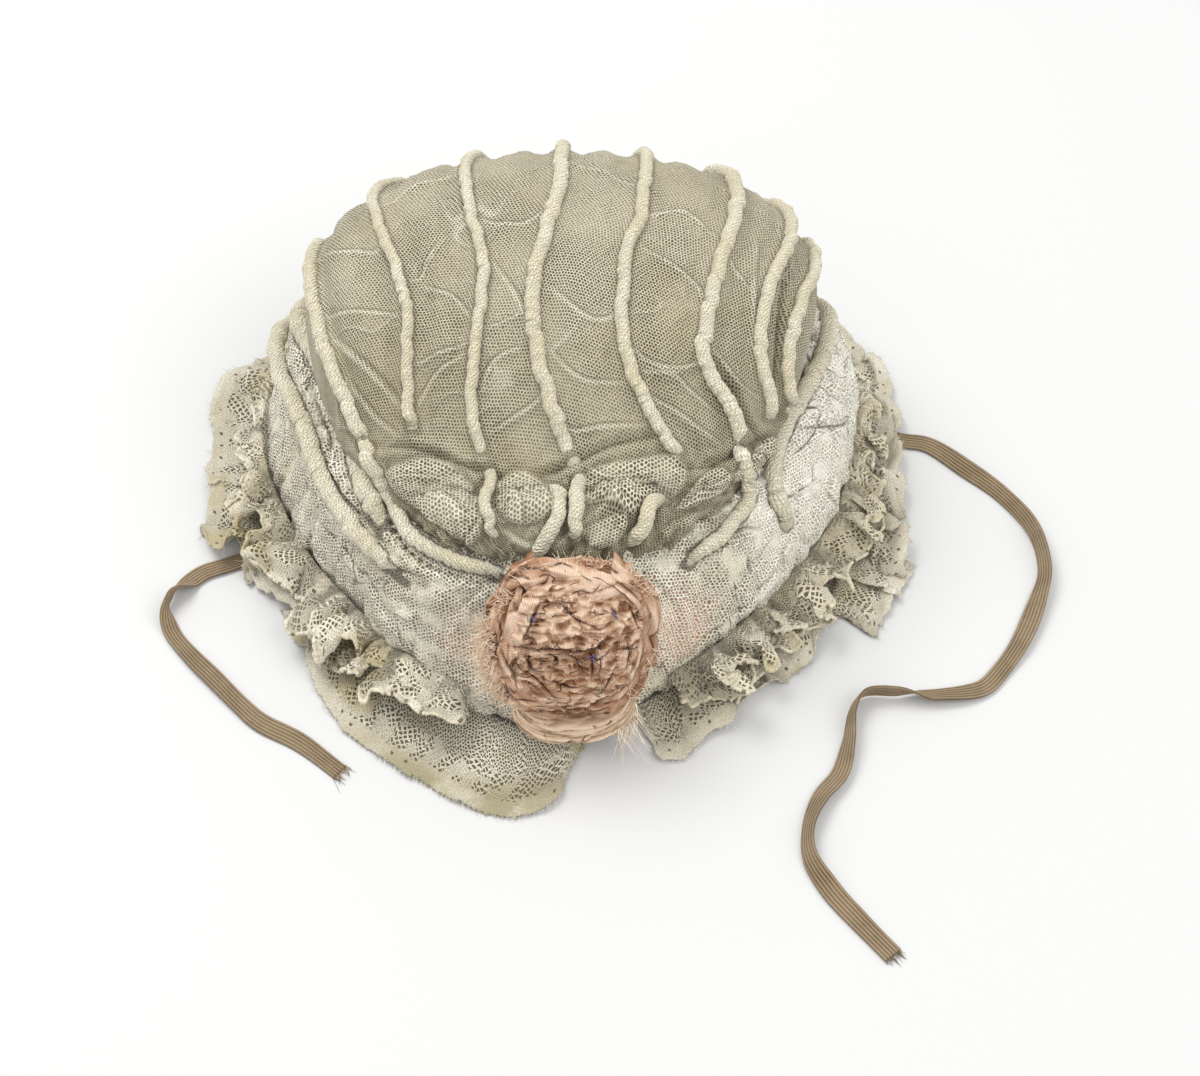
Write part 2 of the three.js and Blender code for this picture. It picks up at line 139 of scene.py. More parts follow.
def part(tree, kind, settings=(), **inputs):
    """One shader node: settings are properties, inputs are sockets by name or by _number, set or linked."""
    node = tree.nodes.new(kind)
    for key, value in dict(settings).items():
        setattr(node, key, value)
    for key, value in inputs.items():
        socket = node.inputs[int(key[1:])] if key[0] == "_" else node.inputs[key.replace("_", " ")]
        if isinstance(value, bpy.types.NodeSocket):
            tree.links.new(value, socket)
        else:
            socket.default_value = value
    return node


def calc(tree, operation, *values):
    """Math node and its result."""
    sockets = {f"_{k}": value for k, value in enumerate(values)}
    return part(tree, "ShaderNodeMath", {"operation": operation}, **sockets).outputs[0]


def times(tree, first, second):
    """Product of two values."""
    return calc(tree, "MULTIPLY", first, second)


def plus(tree, first, second):
    """Sum of two values."""
    return calc(tree, "ADD", first, second)


def span(tree, value, low, high, to_low=0.0, to_high=1.0, smooth=True):
    """Map Range: value from low..high to to_low..to_high."""
    kind = {"interpolation_type": "SMOOTHSTEP" if smooth else "LINEAR"}
    return part(tree, "ShaderNodeMapRange", kind, _0=value, _1=low, _2=high, _3=to_low, _4=to_high).outputs[0]


def blend(tree, factor, first, second):
    """Colour mix from first to second."""
    node = part(tree, "ShaderNodeMix", {"data_type": "RGBA"})
    for socket, value in ((node.inputs[0], factor), (node.inputs[6], first), (node.inputs[7], second)):
        if isinstance(value, bpy.types.NodeSocket):
            tree.links.new(value, socket)
        else:
            socket.default_value = (*value, 1) if isinstance(value, tuple) and len(value) == 3 else value
    return node.outputs[2]


def noise(tree, vector, scale, detail=3.0, rough=0.55):
    """Noise value around one half."""
    cloud = part(tree, "ShaderNodeTexNoise", Vector=vector, Scale=scale, Detail=detail, Roughness=rough)
    return cloud.outputs[0]


def new_cloth(name, roughness, sheen):
    """Material with its tree, surface shader, thread map and place on the object."""
    material = bpy.data.materials.new(name)
    material.use_nodes = True
    tree = material.node_tree
    shader = tree.nodes["Principled BSDF"]
    shader.inputs["Roughness"].default_value = roughness
    shader.inputs["Sheen Weight"].default_value = sheen
    shader.inputs["Specular IOR Level"].default_value = 0.25
    place = tree.nodes.new("ShaderNodeTexCoord")
    thread = part(tree, "ShaderNodeUVMap", {"uv_map": "thread"}).outputs[0]
    return material, tree, shader, thread, place.outputs["Object"]


def mark(tree, name):
    """Value that the mesh keeps at each point under this name, 0 where it keeps none."""
    return part(tree, "ShaderNodeAttribute", {"attribute_name": name}).outputs["Fac"]


def raise_threads(tree, shader, height, distance):
    """Bump from a height in 0..1 that stands for distance metres."""
    bump = part(tree, "ShaderNodeBump", Height=height, Distance=distance, Strength=1.0)
    tree.links.new(bump.outputs[0], shader.inputs["Normal"])


def tie_cloth():
    """Brown ribbon: dotted lines of painted shade in the grooves between ribs, fine weft, paler on the rib
    tops.
    """
    material, tree, shader, thread, place = new_cloth("tie_ribbon", 0.75, 0.25)
    split = part(tree, "ShaderNodeSeparateXYZ", _0=thread)
    along, across = split.outputs[0], split.outputs[1]
    ribs = calc(tree, "SINE", times(tree, across, math.pi * TIE_RIBS / TIE_WIDTH))
    groove = calc(tree, "ABSOLUTE", ribs)
    weft = calc(tree, "SINE", times(tree, along, 2 * math.pi / WEFT_PITCH))
    patch = noise(tree, place, 140, 4)
    dots = span(tree, noise(tree, thread, 2600, 1), 0.40, 0.60)
    # Painted shade: dark dotted lines along the grooves between the ribs.
    line = times(tree, span(tree, groove, 0.0, 0.42, 1, 0), span(tree, dots, 0, 1, 0.55, 1))
    base = blend(tree, span(tree, patch, 0.35, 0.65), (0.180, 0.124, 0.062), (0.270, 0.196, 0.112))
    base = blend(tree, span(tree, weft, -1, 1, 0, 0.25), base, (0.16, 0.10, 0.055))
    base = blend(tree, span(tree, groove, 0.6, 1.0, 0, 0.35), base, (0.44, 0.33, 0.20))
    base = blend(tree, line, base, (0.050, 0.030, 0.016))
    tree.links.new(base, shader.inputs["Base Color"])
    raise_threads(tree, shader, plus(tree, groove, times(tree, weft, 0.18)), 0.16 * MM)
    return material


def ribbon_tie(name, route, turns, steps, cloth, cad_node):
    """Flat ribbon along a route on the table.

    Point = centre + side * s * half width + normal * thickness profile, where side and normal are turned
    about the route by the angle in turns, and the centre is lifted by half the width times its sine.
    The width wavers by a tenth at most.
    """
    line = curve_through(np.array(route) * MM, steps)
    run = np.append(0, np.cumsum(np.linalg.norm(np.diff(line, axis=0), axis=1)))
    turns = np.array(turns, float)
    share = run / run[-1]
    i = np.clip(np.searchsorted(turns[:, 0], share) - 1, 0, len(turns) - 2)
    t = np.clip((share - turns[i, 0]) / (turns[i + 1, 0] - turns[i, 0]), 0, 1)
    angle = np.radians(turns[i, 1] + (turns[i + 1, 1] - turns[i, 1]) * t * t * (3 - 2 * t))
    tangent = unit(np.gradient(line, axis=0))
    flat_side = np.stack([-tangent[:, 1], tangent[:, 0]], 1)
    side = np.concatenate([flat_side * np.cos(angle)[:, None], np.sin(angle)[:, None]], 1)
    along = np.concatenate([tangent, np.zeros((steps, 1))], 1)
    normal = np.cross(along, side)
    waver = 0.06 * np.sin(run / 0.011) + 0.05 * np.sin(run / 0.0047 + 1)
    half = TIE_WIDTH / 2 * (1 + waver)
    lift = TIE_THICKNESS / 2 + np.abs(np.sin(angle)) * half + 0.1 * MM
    lift = lift + 0.5 * MM * (0.5 + 0.5 * np.sin(run / 0.009)) * np.sin(math.pi * share)
    centre = np.concatenate([line, lift[:, None]], 1)
    s = np.linspace(-1, 1, TIE_FACE_POINTS)
    rib = np.abs(np.sin(math.pi * TIE_RIBS / 2 * (s + 1)))
    thick = TIE_THICKNESS / 2 * (0.62 + 0.38 * rib) * (1 - s**8 * 0.6)
    s = np.concatenate([s, s[-2:0:-1]])
    thick = np.concatenate([thick, -thick[-2:0:-1]])
    points = centre[:, None] + side[:, None] * (half[:, None] * s)[..., None]
    points = points + normal[:, None] * thick[None, :, None]
    uv = np.stack(np.broadcast_arrays(run[:, None], np.append(s, s[0])[None] * TIE_WIDTH / 2), -1)
    piece = cloth_mesh(name, points, uv, tube=True)
    sew(piece, cloth, "tie_ribbon", cad_node)
    return piece, centre, side, along


# Loose threads: points along and round each, and the least height of its middle line in millimetres.
HAIR_POINTS = 7
HAIR_SIDES = 3
LOWEST_HAIR = 0.2


def hair_tufts(name, roots, ways, lengths, thick, droop, seed):
    """Thin three-sided tubes in millimetres, none of them below the table.

    Each follows root + (way * s + bend * s^2) * length, with its own bend, and its radius falls by 0.6.
    """
    draw = np.random.default_rng(seed)
    count = len(roots)
    s = np.linspace(0, 1, HAIR_POINTS)
    bend = draw.normal(size=(count, 3)) * 0.35
    bend[:, 2] -= droop
    offset = ways[:, None] * s[None, :, None] + bend[:, None] * (s**2)[None, :, None]
    line = roots[:, None] + offset * lengths[:, None, None]
    line[..., 2] = np.maximum(line[..., 2], LOWEST_HAIR)
    tangent = unit(np.gradient(line, axis=1))
    across = unit(np.cross(tangent, unit(draw.normal(size=(count, 1, 3)))))
    third = np.cross(tangent, across)
    angle = np.linspace(0, 2 * math.pi, HAIR_SIDES, endpoint=False)
    radius = thick * (1 - 0.6 * s)[None, :, None, None]
    spoke = across[:, :, None] * np.cos(angle)[:, None] + third[:, :, None] * np.sin(angle)[:, None]
    points = (line[:, :, None] + radius * spoke).reshape(-1, 3)
    i, j, k = np.meshgrid(np.arange(count), np.arange(HAIR_POINTS - 1), np.arange(HAIR_SIDES), indexing="ij")
    near = (i * HAIR_POINTS + j) * HAIR_SIDES
    far = near + HAIR_SIDES
    after = (k + 1) % HAIR_SIDES
    faces = np.stack([near + k, near + after, far + after, far + k], -1).reshape(-1, 4)
    first = np.arange(count)[:, None] * HAIR_POINTS * HAIR_SIDES
    last = first + (HAIR_POINTS - 1) * HAIR_SIDES
    caps = np.concatenate([first + [2, 1, 0], last + [0, 1, 2]])
    mesh = bpy.data.meshes.new(name)
    mesh.from_pydata(points * MM, [], faces.tolist() + caps.tolist())
    piece = bpy.data.objects.new(name, mesh)
    bpy.context.scene.collection.objects.link(piece)
    return piece


def thread_cloth(name, light, dark):
    """Loose thread: two tones along its place."""
    material, tree, shader, _, place = new_cloth(name, 0.6, 0.4)
    tone = blend(tree, span(tree, noise(tree, place, 500, 2), 0.4, 0.6), light, dark)
    tree.links.new(tone, shader.inputs["Base Color"])
    return material


tie_material = tie_cloth()
# Places on the table in millimetres, from under the ruffle to the cut end.
LEFT_ROUTE = [
    (-73, -16), (-79, -18.6), (-88.4, -22.8), (-95.4, -26.2), (-101.1, -33.5), (-102.3, -38.5), (-100.4, -45),
    (-94.8, -52.3), (-87.4, -60.2), (-80.2, -67.9), (-74.1, -73.4), (-64, -79.1), (-53.3, -87.9),
]
RIGHT_ROUTE = [
    (85.5, 24.6), (96, 21.5), (103.4, 19.3), (112.2, 10.8), (120.8, 1.7), (127.4, -10.7), (129.1, -24.5),
    (126.4, -34.5), (120.5, -47.6), (113.6, -57.7), (107.8, -63.3), (97.4, -65.5), (87.2, -65.5),
    (78.3, -65.8), (74.6, -71), (72.9, -80), (70.3, -88.8), (64.9, -96), (61.4, -104.5), (61.3, -112.8),
    (65.6, -120.9), (72, -129.4), (79, -138),
]
# Share of the way and angle of the ribbon there, in degrees; past 90 its other face is up.
LEFT_TURNS = [(0, 0), (0.24, 0), (0.33, 85), (0.42, 175), (1, 180)]
RIGHT_TURNS = [
    (0, 0), (0.16, 20), (0.28, 60), (0.40, 20), (0.50, 0), (0.56, 20), (0.61, 85), (0.67, 70), (0.76, 20),
    (0.84, 50), (0.93, 5), (1, 0),
]
left_tie = ribbon_tie("left_tie", LEFT_ROUTE, LEFT_TURNS, 360, tie_material, "tie_left")
right_tie = ribbon_tie("right_tie", RIGHT_ROUTE, RIGHT_TURNS, 760, tie_material, "tie_right")

# Threads that stand out of the cut ends.
CUT_THREADS = 44
frayed = thread_cloth("frayed_tie", (0.36, 0.26, 0.145), (0.13, 0.085, 0.045))
draw = np.random.default_rng(9)
for name, (_, centre, side, along) in (("left_tie_fray", left_tie), ("right_tie_fray", right_tie)):
    roots = centre[-1] / MM + side[-1] * draw.uniform(-2.4, 2.4, CUT_THREADS)[:, None] - along[-1] * 0.3
    ways = unit(along[-1] + draw.normal(0, 0.28, (CUT_THREADS, 3)) * np.array([1.0, 1.0, 0.4]))
    threads = hair_tufts(name, roots, ways, draw.uniform(0.8, 2.6, CUT_THREADS), 0.10, 0.1, 90)
    sew(threads, frayed, "tie_ribbon")


# Padded roll: a wadded roll round the face, faded pink silk under two layers of off-white net, tacked and
# puckered by hand. It thins to a plain turned hem round the back of the neck.
# Millimetres, as in the sections below: half of the opening each way, height of the crown, y of the opening's
# middle, height of the roll's lower edge, half of the roll's thickness at the front.
HALF_WIDTH, HALF_LENGTH, CROWN_HEIGHT, CENTRE_Y, FOOT_Z, ROLL_HALF = 79, 83, 75, 10, 1.2, 9
OUTLINE = np.array([
    # bearing in degrees from the front, foot and rim as shares of the opening, height as a share of the
    # crown's, thickness as a share of that at the front
    [0, 1.036, 0.735, 0.527, 1.00],
    [15, 0.960, 0.745, 0.527, 1.00],
    [30, 0.885, 0.755, 0.537, 1.00],
    [45, 0.845, 0.760, 0.548, 1.00],
    [60, 0.855, 0.765, 0.558, 1.00],
    [75, 0.905, 0.775, 0.569, 0.95],
    [90, 0.965, 0.815, 0.569, 0.85],
    [105, 1.030, 0.885, 0.548, 0.70],
    [120, 1.060, 0.945, 0.463, 0.55],
    [135, 1.050, 0.965, 0.358, 0.45],
    [150, 1.010, 0.945, 0.274, 0.40],
    [165, 0.975, 0.925, 0.221, 0.36],
    [180, 0.960, 0.920, 0.211, 0.35],
])


def read(table, column, x):
    """Smooth curve through a table column: a cubic between rows with the slope of the neighbouring rows."""
    station, value = table[:, 0], table[:, column]
    slope = np.zeros(len(value))
    slope[1:-1] = (value[2:] - value[:-2]) / (station[2:] - station[:-2])
    i = np.clip(np.searchsorted(station, x) - 1, 0, len(value) - 2)
    width = station[i + 1] - station[i]
    t = np.clip((x - station[i]) / width, 0, 1)
    rise = (value[i + 1] - value[i]) * t * t * (3 - 2 * t)
    return value[i] + rise + width * t * (1 - t) * ((1 - t) * slope[i] - t * slope[i + 1])


def smooth(low, high, x):
    """Soft step from 0 to 1 between low and high."""
    t = np.clip((x - low) / (high - low), 0, 1)
    return t * t * (3 - 2 * t)


def at_bearing(column, bearing):
    """Outline table read at a bearing of either sign, in radians."""
    degrees = np.abs((np.degrees(bearing) + 180) % 360 - 180)
    return read(OUTLINE, column, degrees)


def ring(bearing, share, z):
    """Egg-shaped ring about the opening's middle."""
    x = share * HALF_WIDTH * np.sin(bearing)
    return np.stack([x, CENTRE_Y - share * HALF_LENGTH * np.cos(bearing), z + 0 * x], -1)


def roll_frame(bearing):
    """Middle, up and out directions, half height and half thickness of the roll's section."""
    foot = ring(bearing, at_bearing(1, bearing), FOOT_Z)
    rim = ring(bearing, at_bearing(2, bearing), at_bearing(3, bearing) * CROWN_HEIGHT)
    up = rim - foot
    half = np.linalg.norm(up, axis=-1) / 2
    up = unit(up)
    step = 0.001
    ahead = ring(bearing + step, at_bearing(1, bearing + step) + at_bearing(2, bearing + step), 0)
    behind = ring(bearing - step, at_bearing(1, bearing - step) + at_bearing(2, bearing - step), 0)
    out = unit(np.cross(ahead - behind, up))
    lumps = 1 + 0.05 * np.sin(11 * bearing + 0.6) + 0.04 * np.sin(7 * bearing)
    return (foot + rim) / 2, up, out, half, ROLL_HALF * at_bearing(4, bearing) * lumps


def roll_point(bearing, turn, lift=0.0):
    """Boxed ellipse about the section's middle; turn 0 is the outer flank, a quarter turn the upper edge."""
    middle, up, out, half, thick = roll_frame(bearing)
    side = np.sign(np.cos(turn)) * np.abs(np.cos(turn)) ** 0.85
    return middle + out * (side * (thick + lift))[..., None] + up * (np.sin(turn) * (half + lift))[..., None]


def crumple(points, size, seed, waves=12):
    """Sum of sine waves about size long in random directions, each bent by the one before; about -1 to 1."""
    draw = np.random.default_rng(seed)
    total = 0
    wave = 0
    for _ in range(waves):
        direction = draw.normal(size=points.shape[-1])
        direction *= 2 * math.pi / (np.linalg.norm(direction) * size * draw.uniform(0.7, 1.7))
        wave = np.sin(points @ direction + draw.uniform(0, 2 * math.pi) + 1.3 * wave)
        total = total + wave
    return total / math.sqrt(waves) / 1.3


def closed_normals(points):
    """Unit normals, from central differences, of a grid that meets itself both ways."""
    along = (np.roll(points, -1, 0) - np.roll(points, 1, 0)) / 2
    across = (np.roll(points, -1, 1) - np.roll(points, 1, 1)) / 2
    return unit(np.cross(along, across))


def press_folds(points, normals, paths):
    """Relief in millimetres of folds along paths on a surface, and the marks that their painted highlights
    and painted shade are drawn from.

    Across a raised fold the height falls off as exp(-(d/w)^2), three times as steeply on its left. A groove
    has the same bell downward between two swollen lips. Both fade at the ends of the path, and a row of paths
    is line, height, width. The marks are off, the distance across the strongest fold in its widths, and keep,
    positive on a raised fold and negative on a groove.
    """
    relief = np.zeros(points.shape[:2])
    marks = {"off": np.full(points.shape[:2], 3.0), "keep": np.zeros(points.shape[:2])}
    strongest = np.zeros(points.shape[:2])
    for path, height, width in paths:
        line = curve_through(path, 32)
        tangent = unit(np.gradient(line, axis=0))
        fade = np.sin(np.linspace(0.1, math.pi - 0.1, 32)) ** 0.5
        near = np.all((points > line.min(0) - 5 * width) & (points < line.max(0) + 5 * width), -1)
        gap = points[near][:, None] - line[None]
        closest = (gap**2).sum(-1).argmin(1)
        gap = gap[np.arange(len(closest)), closest]
        off = (np.cross(tangent[closest], normals[near]) * gap).sum(-1) / width
        reach = np.linalg.norm(gap, axis=-1) / width
        keep = fade[closest] * np.exp(-np.maximum(0, reach**2 - off**2))
        if height > 0:
            bell = np.where(off > 0, np.exp(-off**2), np.exp(-(3 * off) ** 2))
        else:
            bell = np.exp(-off**2) - 0.45 * np.exp(-(((np.abs(off) - 2.2) / 1.3) ** 2))
        relief[near] += height * bell * keep
        weight = keep * np.exp(-(off**2) / 4)
        wins = weight > strongest[near]
        strongest[near] = np.where(wins, weight, strongest[near])
        marks["off"][near] = np.where(wins, off, marks["off"][near])
        marks["keep"][near] = np.where(wins, keep * np.sign(height), marks["keep"][near])
    return relief, marks


def minus(tree, first, second):
    """First value less the second."""
    return calc(tree, "SUBTRACT", first, second)


def larger(tree, first, second):
    """Larger of two values."""
    return calc(tree, "MAXIMUM", first, second)


def fold_lines(tree):
    """Painted highlight on the crests of raised folds, and painted shade in grooves and on their steep side,
    each 0 to 1.
    """
    off, keep = mark(tree, "off"), mark(tree, "keep")
    raised, sunk = larger(tree, keep, 0.0), larger(tree, times(tree, keep, -1.0), 0.0)
    to_crest = calc(tree, "ABSOLUTE", minus(tree, off, 0.15))
    to_side = calc(tree, "ABSOLUTE", plus(tree, off, 0.65))
    crest = times(tree, raised, span(tree, to_crest, 0.0, 0.55, 1, 0))
    side = times(tree, raised, span(tree, to_side, 0.0, 0.40, 1, 0))
    floor = times(tree, sunk, span(tree, calc(tree, "ABSOLUTE", off), 0.15, 0.75, 1, 0))
    return crest, larger(tree, side, floor)


def creases(tree, vector, scale, width):
    """Thin wandering lines, 1 on the line: where a noise passes its middle value."""
    away = calc(tree, "ABSOLUTE", minus(tree, noise(tree, vector, scale, 1.0), 0.5))
    return span(tree, away, 0.0, width, 1, 0)


def thread_map(points, along_column):
    """Thread coordinates of a closed band in metres: length along it at one column, then across each row."""
    points = np.concatenate([points, points[:1]], 0)
    points = np.concatenate([points, points[:, :1]], 1)
    down = np.linalg.norm(np.diff(points[:, along_column], axis=0), axis=-1)
    over = np.linalg.norm(np.diff(points, axis=1), axis=-1)
    along = np.broadcast_to(np.append(0, np.cumsum(down))[:, None], points.shape[:2])
    return np.stack([along, np.pad(np.cumsum(over, 1), ((0, 0), (1, 0)))], -1) * MM


def vectors(tree, operation, *values, **scale):
    """Vector Math node and its result, a value where the operation measures."""
    sockets = {f"_{k}": value for k, value in enumerate(values)}
    node = part(tree, "ShaderNodeVectorMath", {"operation": operation}, **sockets, **scale)
    return node.outputs[1 if operation in ("LENGTH", "DOT_PRODUCT") else 0]


def shaken(tree, thread, angle, scale, amount):
    """Thread coordinates turned by an angle and pushed about by noise, as in an old, stretched net."""
    turn = part(tree, "ShaderNodeVectorRotate", {"rotation_type": "Z_AXIS"}, Vector=thread, Angle=angle)
    cloud = part(tree, "ShaderNodeTexNoise", Vector=turn.outputs[0], Scale=scale, Detail=2.0).outputs[1]
    shake = vectors(tree, "SCALE", vectors(tree, "SUBTRACT", cloud, (0.5, 0.5, 0.5)), Scale=amount)
    return vectors(tree, "ADD", turn.outputs[0], shake)


def net_threads(tree, thread, cell, angle, width, shake=0.6):
    """Mask of a hexagonal net: 1 on a thread, 0 in a mesh.

    The nearest hexagon centre is the nearer of two shifted rectangular lattices. The distance to the cell's
    edge is half hexagonal, half round, as in twisted net.
    """
    spot = vectors(tree, "SCALE", shaken(tree, thread, angle, 0.7 / cell, shake * cell), Scale=1 / cell)
    step, half = (1.0, math.sqrt(3), 1.0), (0.5, math.sqrt(3) / 2, 0.5)
    near = []
    for shift in ((0.0, 0.0, 0.0), half):
        wrapped = vectors(tree, "WRAP", vectors(tree, "ADD", spot, shift), step, (0.0, 0.0, 0.0))
        near.append(vectors(tree, "MULTIPLY", vectors(tree, "SUBTRACT", wrapped, half), (1.0, 1.0, 0.0)))
    second = calc(tree, "GREATER_THAN", *[vectors(tree, "LENGTH", place) for place in near])
    pick = part(tree, "ShaderNodeMix", {"data_type": "VECTOR"}, _0=second, _4=near[0], _5=near[1]).outputs[1]
    plain = vectors(tree, "ABSOLUTE", pick)
    slant = vectors(tree, "DOT_PRODUCT", plain, (0.5, math.sqrt(3) / 2, 0.0))
    hexagon = larger(tree, slant, part(tree, "ShaderNodeSeparateXYZ", _0=plain).outputs[0])
    edge = plus(tree, times(tree, hexagon, 0.55), times(tree, vectors(tree, "LENGTH", pick), 0.43))
    return span(tree, edge, 0.5 - width, 0.5 - 0.35 * width)


def roll_cloth():
    """Off-white net over faded pink silk: pale threads, painted shade where it is open, pink where it is
    thin, painted highlights on fold crests and on the right side, painted shade in folds, creases and round
    the cords.
    """
    material, tree, shader, thread, place = new_cloth("roll_net", 0.85, 0.2)
    net = net_threads(tree, thread, 0.98 * MM, 0.35, 0.31, 1.1)
    closed = span(tree, noise(tree, place, 150, 4, 0.6), 0.47, 0.66)
    patch = span(tree, noise(tree, place, 40, 4), 0.38, 0.66)
    fuzz = noise(tree, place, 1500, 4)
    pink = mark(tree, "pink")
    crest, dark = fold_lines(tree)
    some = span(tree, noise(tree, place, 55, 1), 0.47, 0.6)
    lines = times(tree, creases(tree, place, 85, 0.010), some)
    plaster = noise(tree, place, 420, 4)
    # Painted shade seen through the open meshes: the dark hole colour.
    hole = blend(tree, times(tree, closed, 0.8), (0.17, 0.14, 0.085), (0.66, 0.61, 0.47))
    # Painted light over the roll's right side lightens the holes there.
    hole = blend(tree, times(tree, mark(tree, "bleached"), 0.85), hole, (0.62, 0.57, 0.44))
    hole = blend(tree, pink, hole, (0.56, 0.235, 0.135))
    yarn = blend(tree, patch, (0.90, 0.87, 0.74), (0.78, 0.73, 0.57))
    yarn = blend(tree, span(tree, fuzz, 0.35, 0.65, 0, 0.35), yarn, (0.52, 0.47, 0.35))
    # Painted highlight on the fold crests, and painted light over the right side of the roll.
    light = larger(tree, times(tree, crest, 0.6), mark(tree, "bleached"))
    yarn = blend(tree, light, yarn, (0.97, 0.95, 0.86))
    solid = times(tree, closed, minus(tree, 0.6, times(tree, pink, 0.55)))
    net = larger(tree, net, solid)
    colour = blend(tree, net, hole, yarn)
    # Painted shade in the grooves, along the crease lines and round the cords where they meet the net.
    dark = larger(tree, dark, times(tree, lines, 0.8))
    dark = larger(tree, dark, span(tree, mark(tree, "cord_gap"), 0.0, 0.8, 0.8, 0))
    colour = blend(tree, times(tree, dark, 0.92), colour, (0.075, 0.055, 0.035))
    tree.links.new(colour, shader.inputs["Base Color"])
    height = minus(tree, plus(tree, net, times(tree, fuzz, 0.7)), times(tree, lines, 1.5))
    raise_threads(tree, shader, plus(tree, height, plaster), 0.45 * MM)
    return material


def on_roll(path, lift=0.0, dive=(0.0, 0.0)):
    """Points on the roll from pairs of bearing and turn in degrees; the ends dive by their depths."""
    path = np.radians(np.array(path, float))
    lifts = np.full(len(path), float(lift))
    lifts[0] -= dive[0]
    lifts[-1] -= dive[1]
    return roll_point(path[:, 0], path[:, 1], lifts)


def cord_gap(points, routes):
    """Distance from each point to the surface of the nearest cord, at most 9; a row is route, radius."""
    gap = np.full(points.shape[:-1], 9.0)
    for route, radius in routes:
        for spot in curve_through(route, 90):
            gap = np.minimum(gap, np.linalg.norm(points - spot, axis=-1) - radius)
    return gap


# Cords that lie on the roll: bearing and turn along each, lift, radius. Their ends dive 4 mm.
PIPING = {
    "piping_left_inner": (
        [(-118, 60), (-105, 78), (-92, 100), (-80, 116), (-68, 112), (-58, 98), (-48, 80), (-40, 62)],
        0.1, 3.0),
    "piping_left_outer": (
        [(-118, 14), (-107, 26), (-92, 44), (-84, 52), (-74, 55), (-66, 53), (-55, 46), (-42, 37), (-31, 30)],
        1.1, 2.4),
    "piping_right_inner": (
        [(57, 2), (55, 30), (56, 56), (61, 80), (72, 86), (84, 76), (96, 64), (108, 56), (118, 50)],
        0.6, 2.4),
}
ROLL_CORDS = {name: (on_roll(path, lift, (4, 4)), radius) for name, (path, lift, radius) in PIPING.items()}
# Front ends of two crown cords, which run on over the roll.
ROLL_TAILS = {
    1: on_roll([(-9, 62), (-15, 61), (-22, 62), (-30, 68), (-37, 79), (-44, 95)], 1.0, (4.5, 0)),
    6: on_roll([(27, 50), (32, 54), (37, 57), (43, 62), (49, 72)], 1.0, (4, 0)),
}
# Grooves and gathers of the roll's net: bearing and turn along each, height, width.
ROLL_FOLDS = [
    ([(-84, 87), (-79, 84), (-69, 86), (-62, 60), (-53, 55), (-46, 51)], -2.2, 0.8),
    ([(-92, 112), (-72, 112), (-55, 108), (-45, 88), (-38, 66), (-31, 54), (-24, 50), (-17, 49)], -2.4, 0.9),
    ([(-97, 39), (-85, 51), (-72, 57)], -1.3, 0.9),
    ([(-76, 30), (-66, 26), (-58, 30), (-50, 24)], -1.2, 0.8),
    ([(-60, 4), (-48, 8), (-38, 2)], -1.1, 0.8),
    ([(-44, 40), (-36, 34), (-28, 38)], -1.3, 0.7),
    ([(-66, 88), (-60, 100), (-52, 96)], 1.2, 1.6),
    ([(74, 3), (72, -5), (72, -26)], -1.8, 0.7),
    ([(69, 18), (61, 31), (57, 40)], -1.9, 0.7),
    ([(59, 21), (58, 11), (54, 5), (52, -3), (53, -17)], -1.8, 0.7),
    ([(66, 12), (64, 0), (62, -14)], -1.3, 0.7),
    ([(47, 40), (44, 49), (38, 52), (31, 46)], -2.0, 0.9),
    ([(42, 25), (43, 5)], -1.0, 0.6),
    ([(37, 14), (38, -8)], -0.8, 0.6),
    ([(50, -12), (42, -20), (33, -22), (26, -26)], -1.2, 1.0),
    ([(118, 110), (112, 79), (112, 24)], -1.1, 0.9),
    ([(110, 112), (105, 80), (106, 34)], -1.0, 0.8),
    ([(103, 116), (98, 80), (100, 30)], -1.2, 0.9),
    ([(96, 110), (92, 76), (93, 40)], -1.0, 0.8),
    ([(90, 116), (86, 74), (89, 18)], -1.2, 0.9),
    ([(82, 108), (79, 72), (82, 44)], -1.0, 0.8),
    ([(70, 84), (76, 50), (86, 10), (92, -10)], -1.5, 0.8),
    ([(66, 60), (74, 48), (82, 50)], -1.2, 0.7),
]


def stretches(*rows):
    """Degrees in radians, each row a start, an end that is left out, and its number of steps."""
    return np.radians(np.concatenate([np.linspace(*row, endpoint=False) for row in rows]))


# The grid is close where the roll shows: round the front and on its outer side.
bearing, turn = np.meshgrid(stretches((-180, -125, 80), (-125, 125, 640), (125, 180, 80)),
                            stretches((-70, 135, 92), (135, 290, 30)), indexing="ij")
roll = roll_point(bearing, turn)
roll_uv = thread_map(roll, 48)
outward = closed_normals(roll)
lie = np.stack([roll[..., 0], roll[..., 1], roll[..., 2] * 0.6], -1)
pucker = 1 - np.abs(crumple(lie, 22, 3)) ** 0.7
fine = crumple(roll, 6, 4)
fade = 0.25 + 0.75 * at_bearing(4, bearing)
folds = [(on_roll(path), height, width) for path, height, width in ROLL_FOLDS]
sewn, marks = press_folds(roll, outward, folds)
degrees, turn_degrees = np.degrees(bearing), np.degrees(turn)


def patch_at(along, reach, round_turn, turn_reach):
    """Bell about a bearing and a turn, 1 there: exp(-(a / reach)^2 - (b / turn reach)^2)."""
    return np.exp(-(((degrees - along) / reach) ** 2) - ((turn_degrees - round_turn) / turn_reach) ** 2)


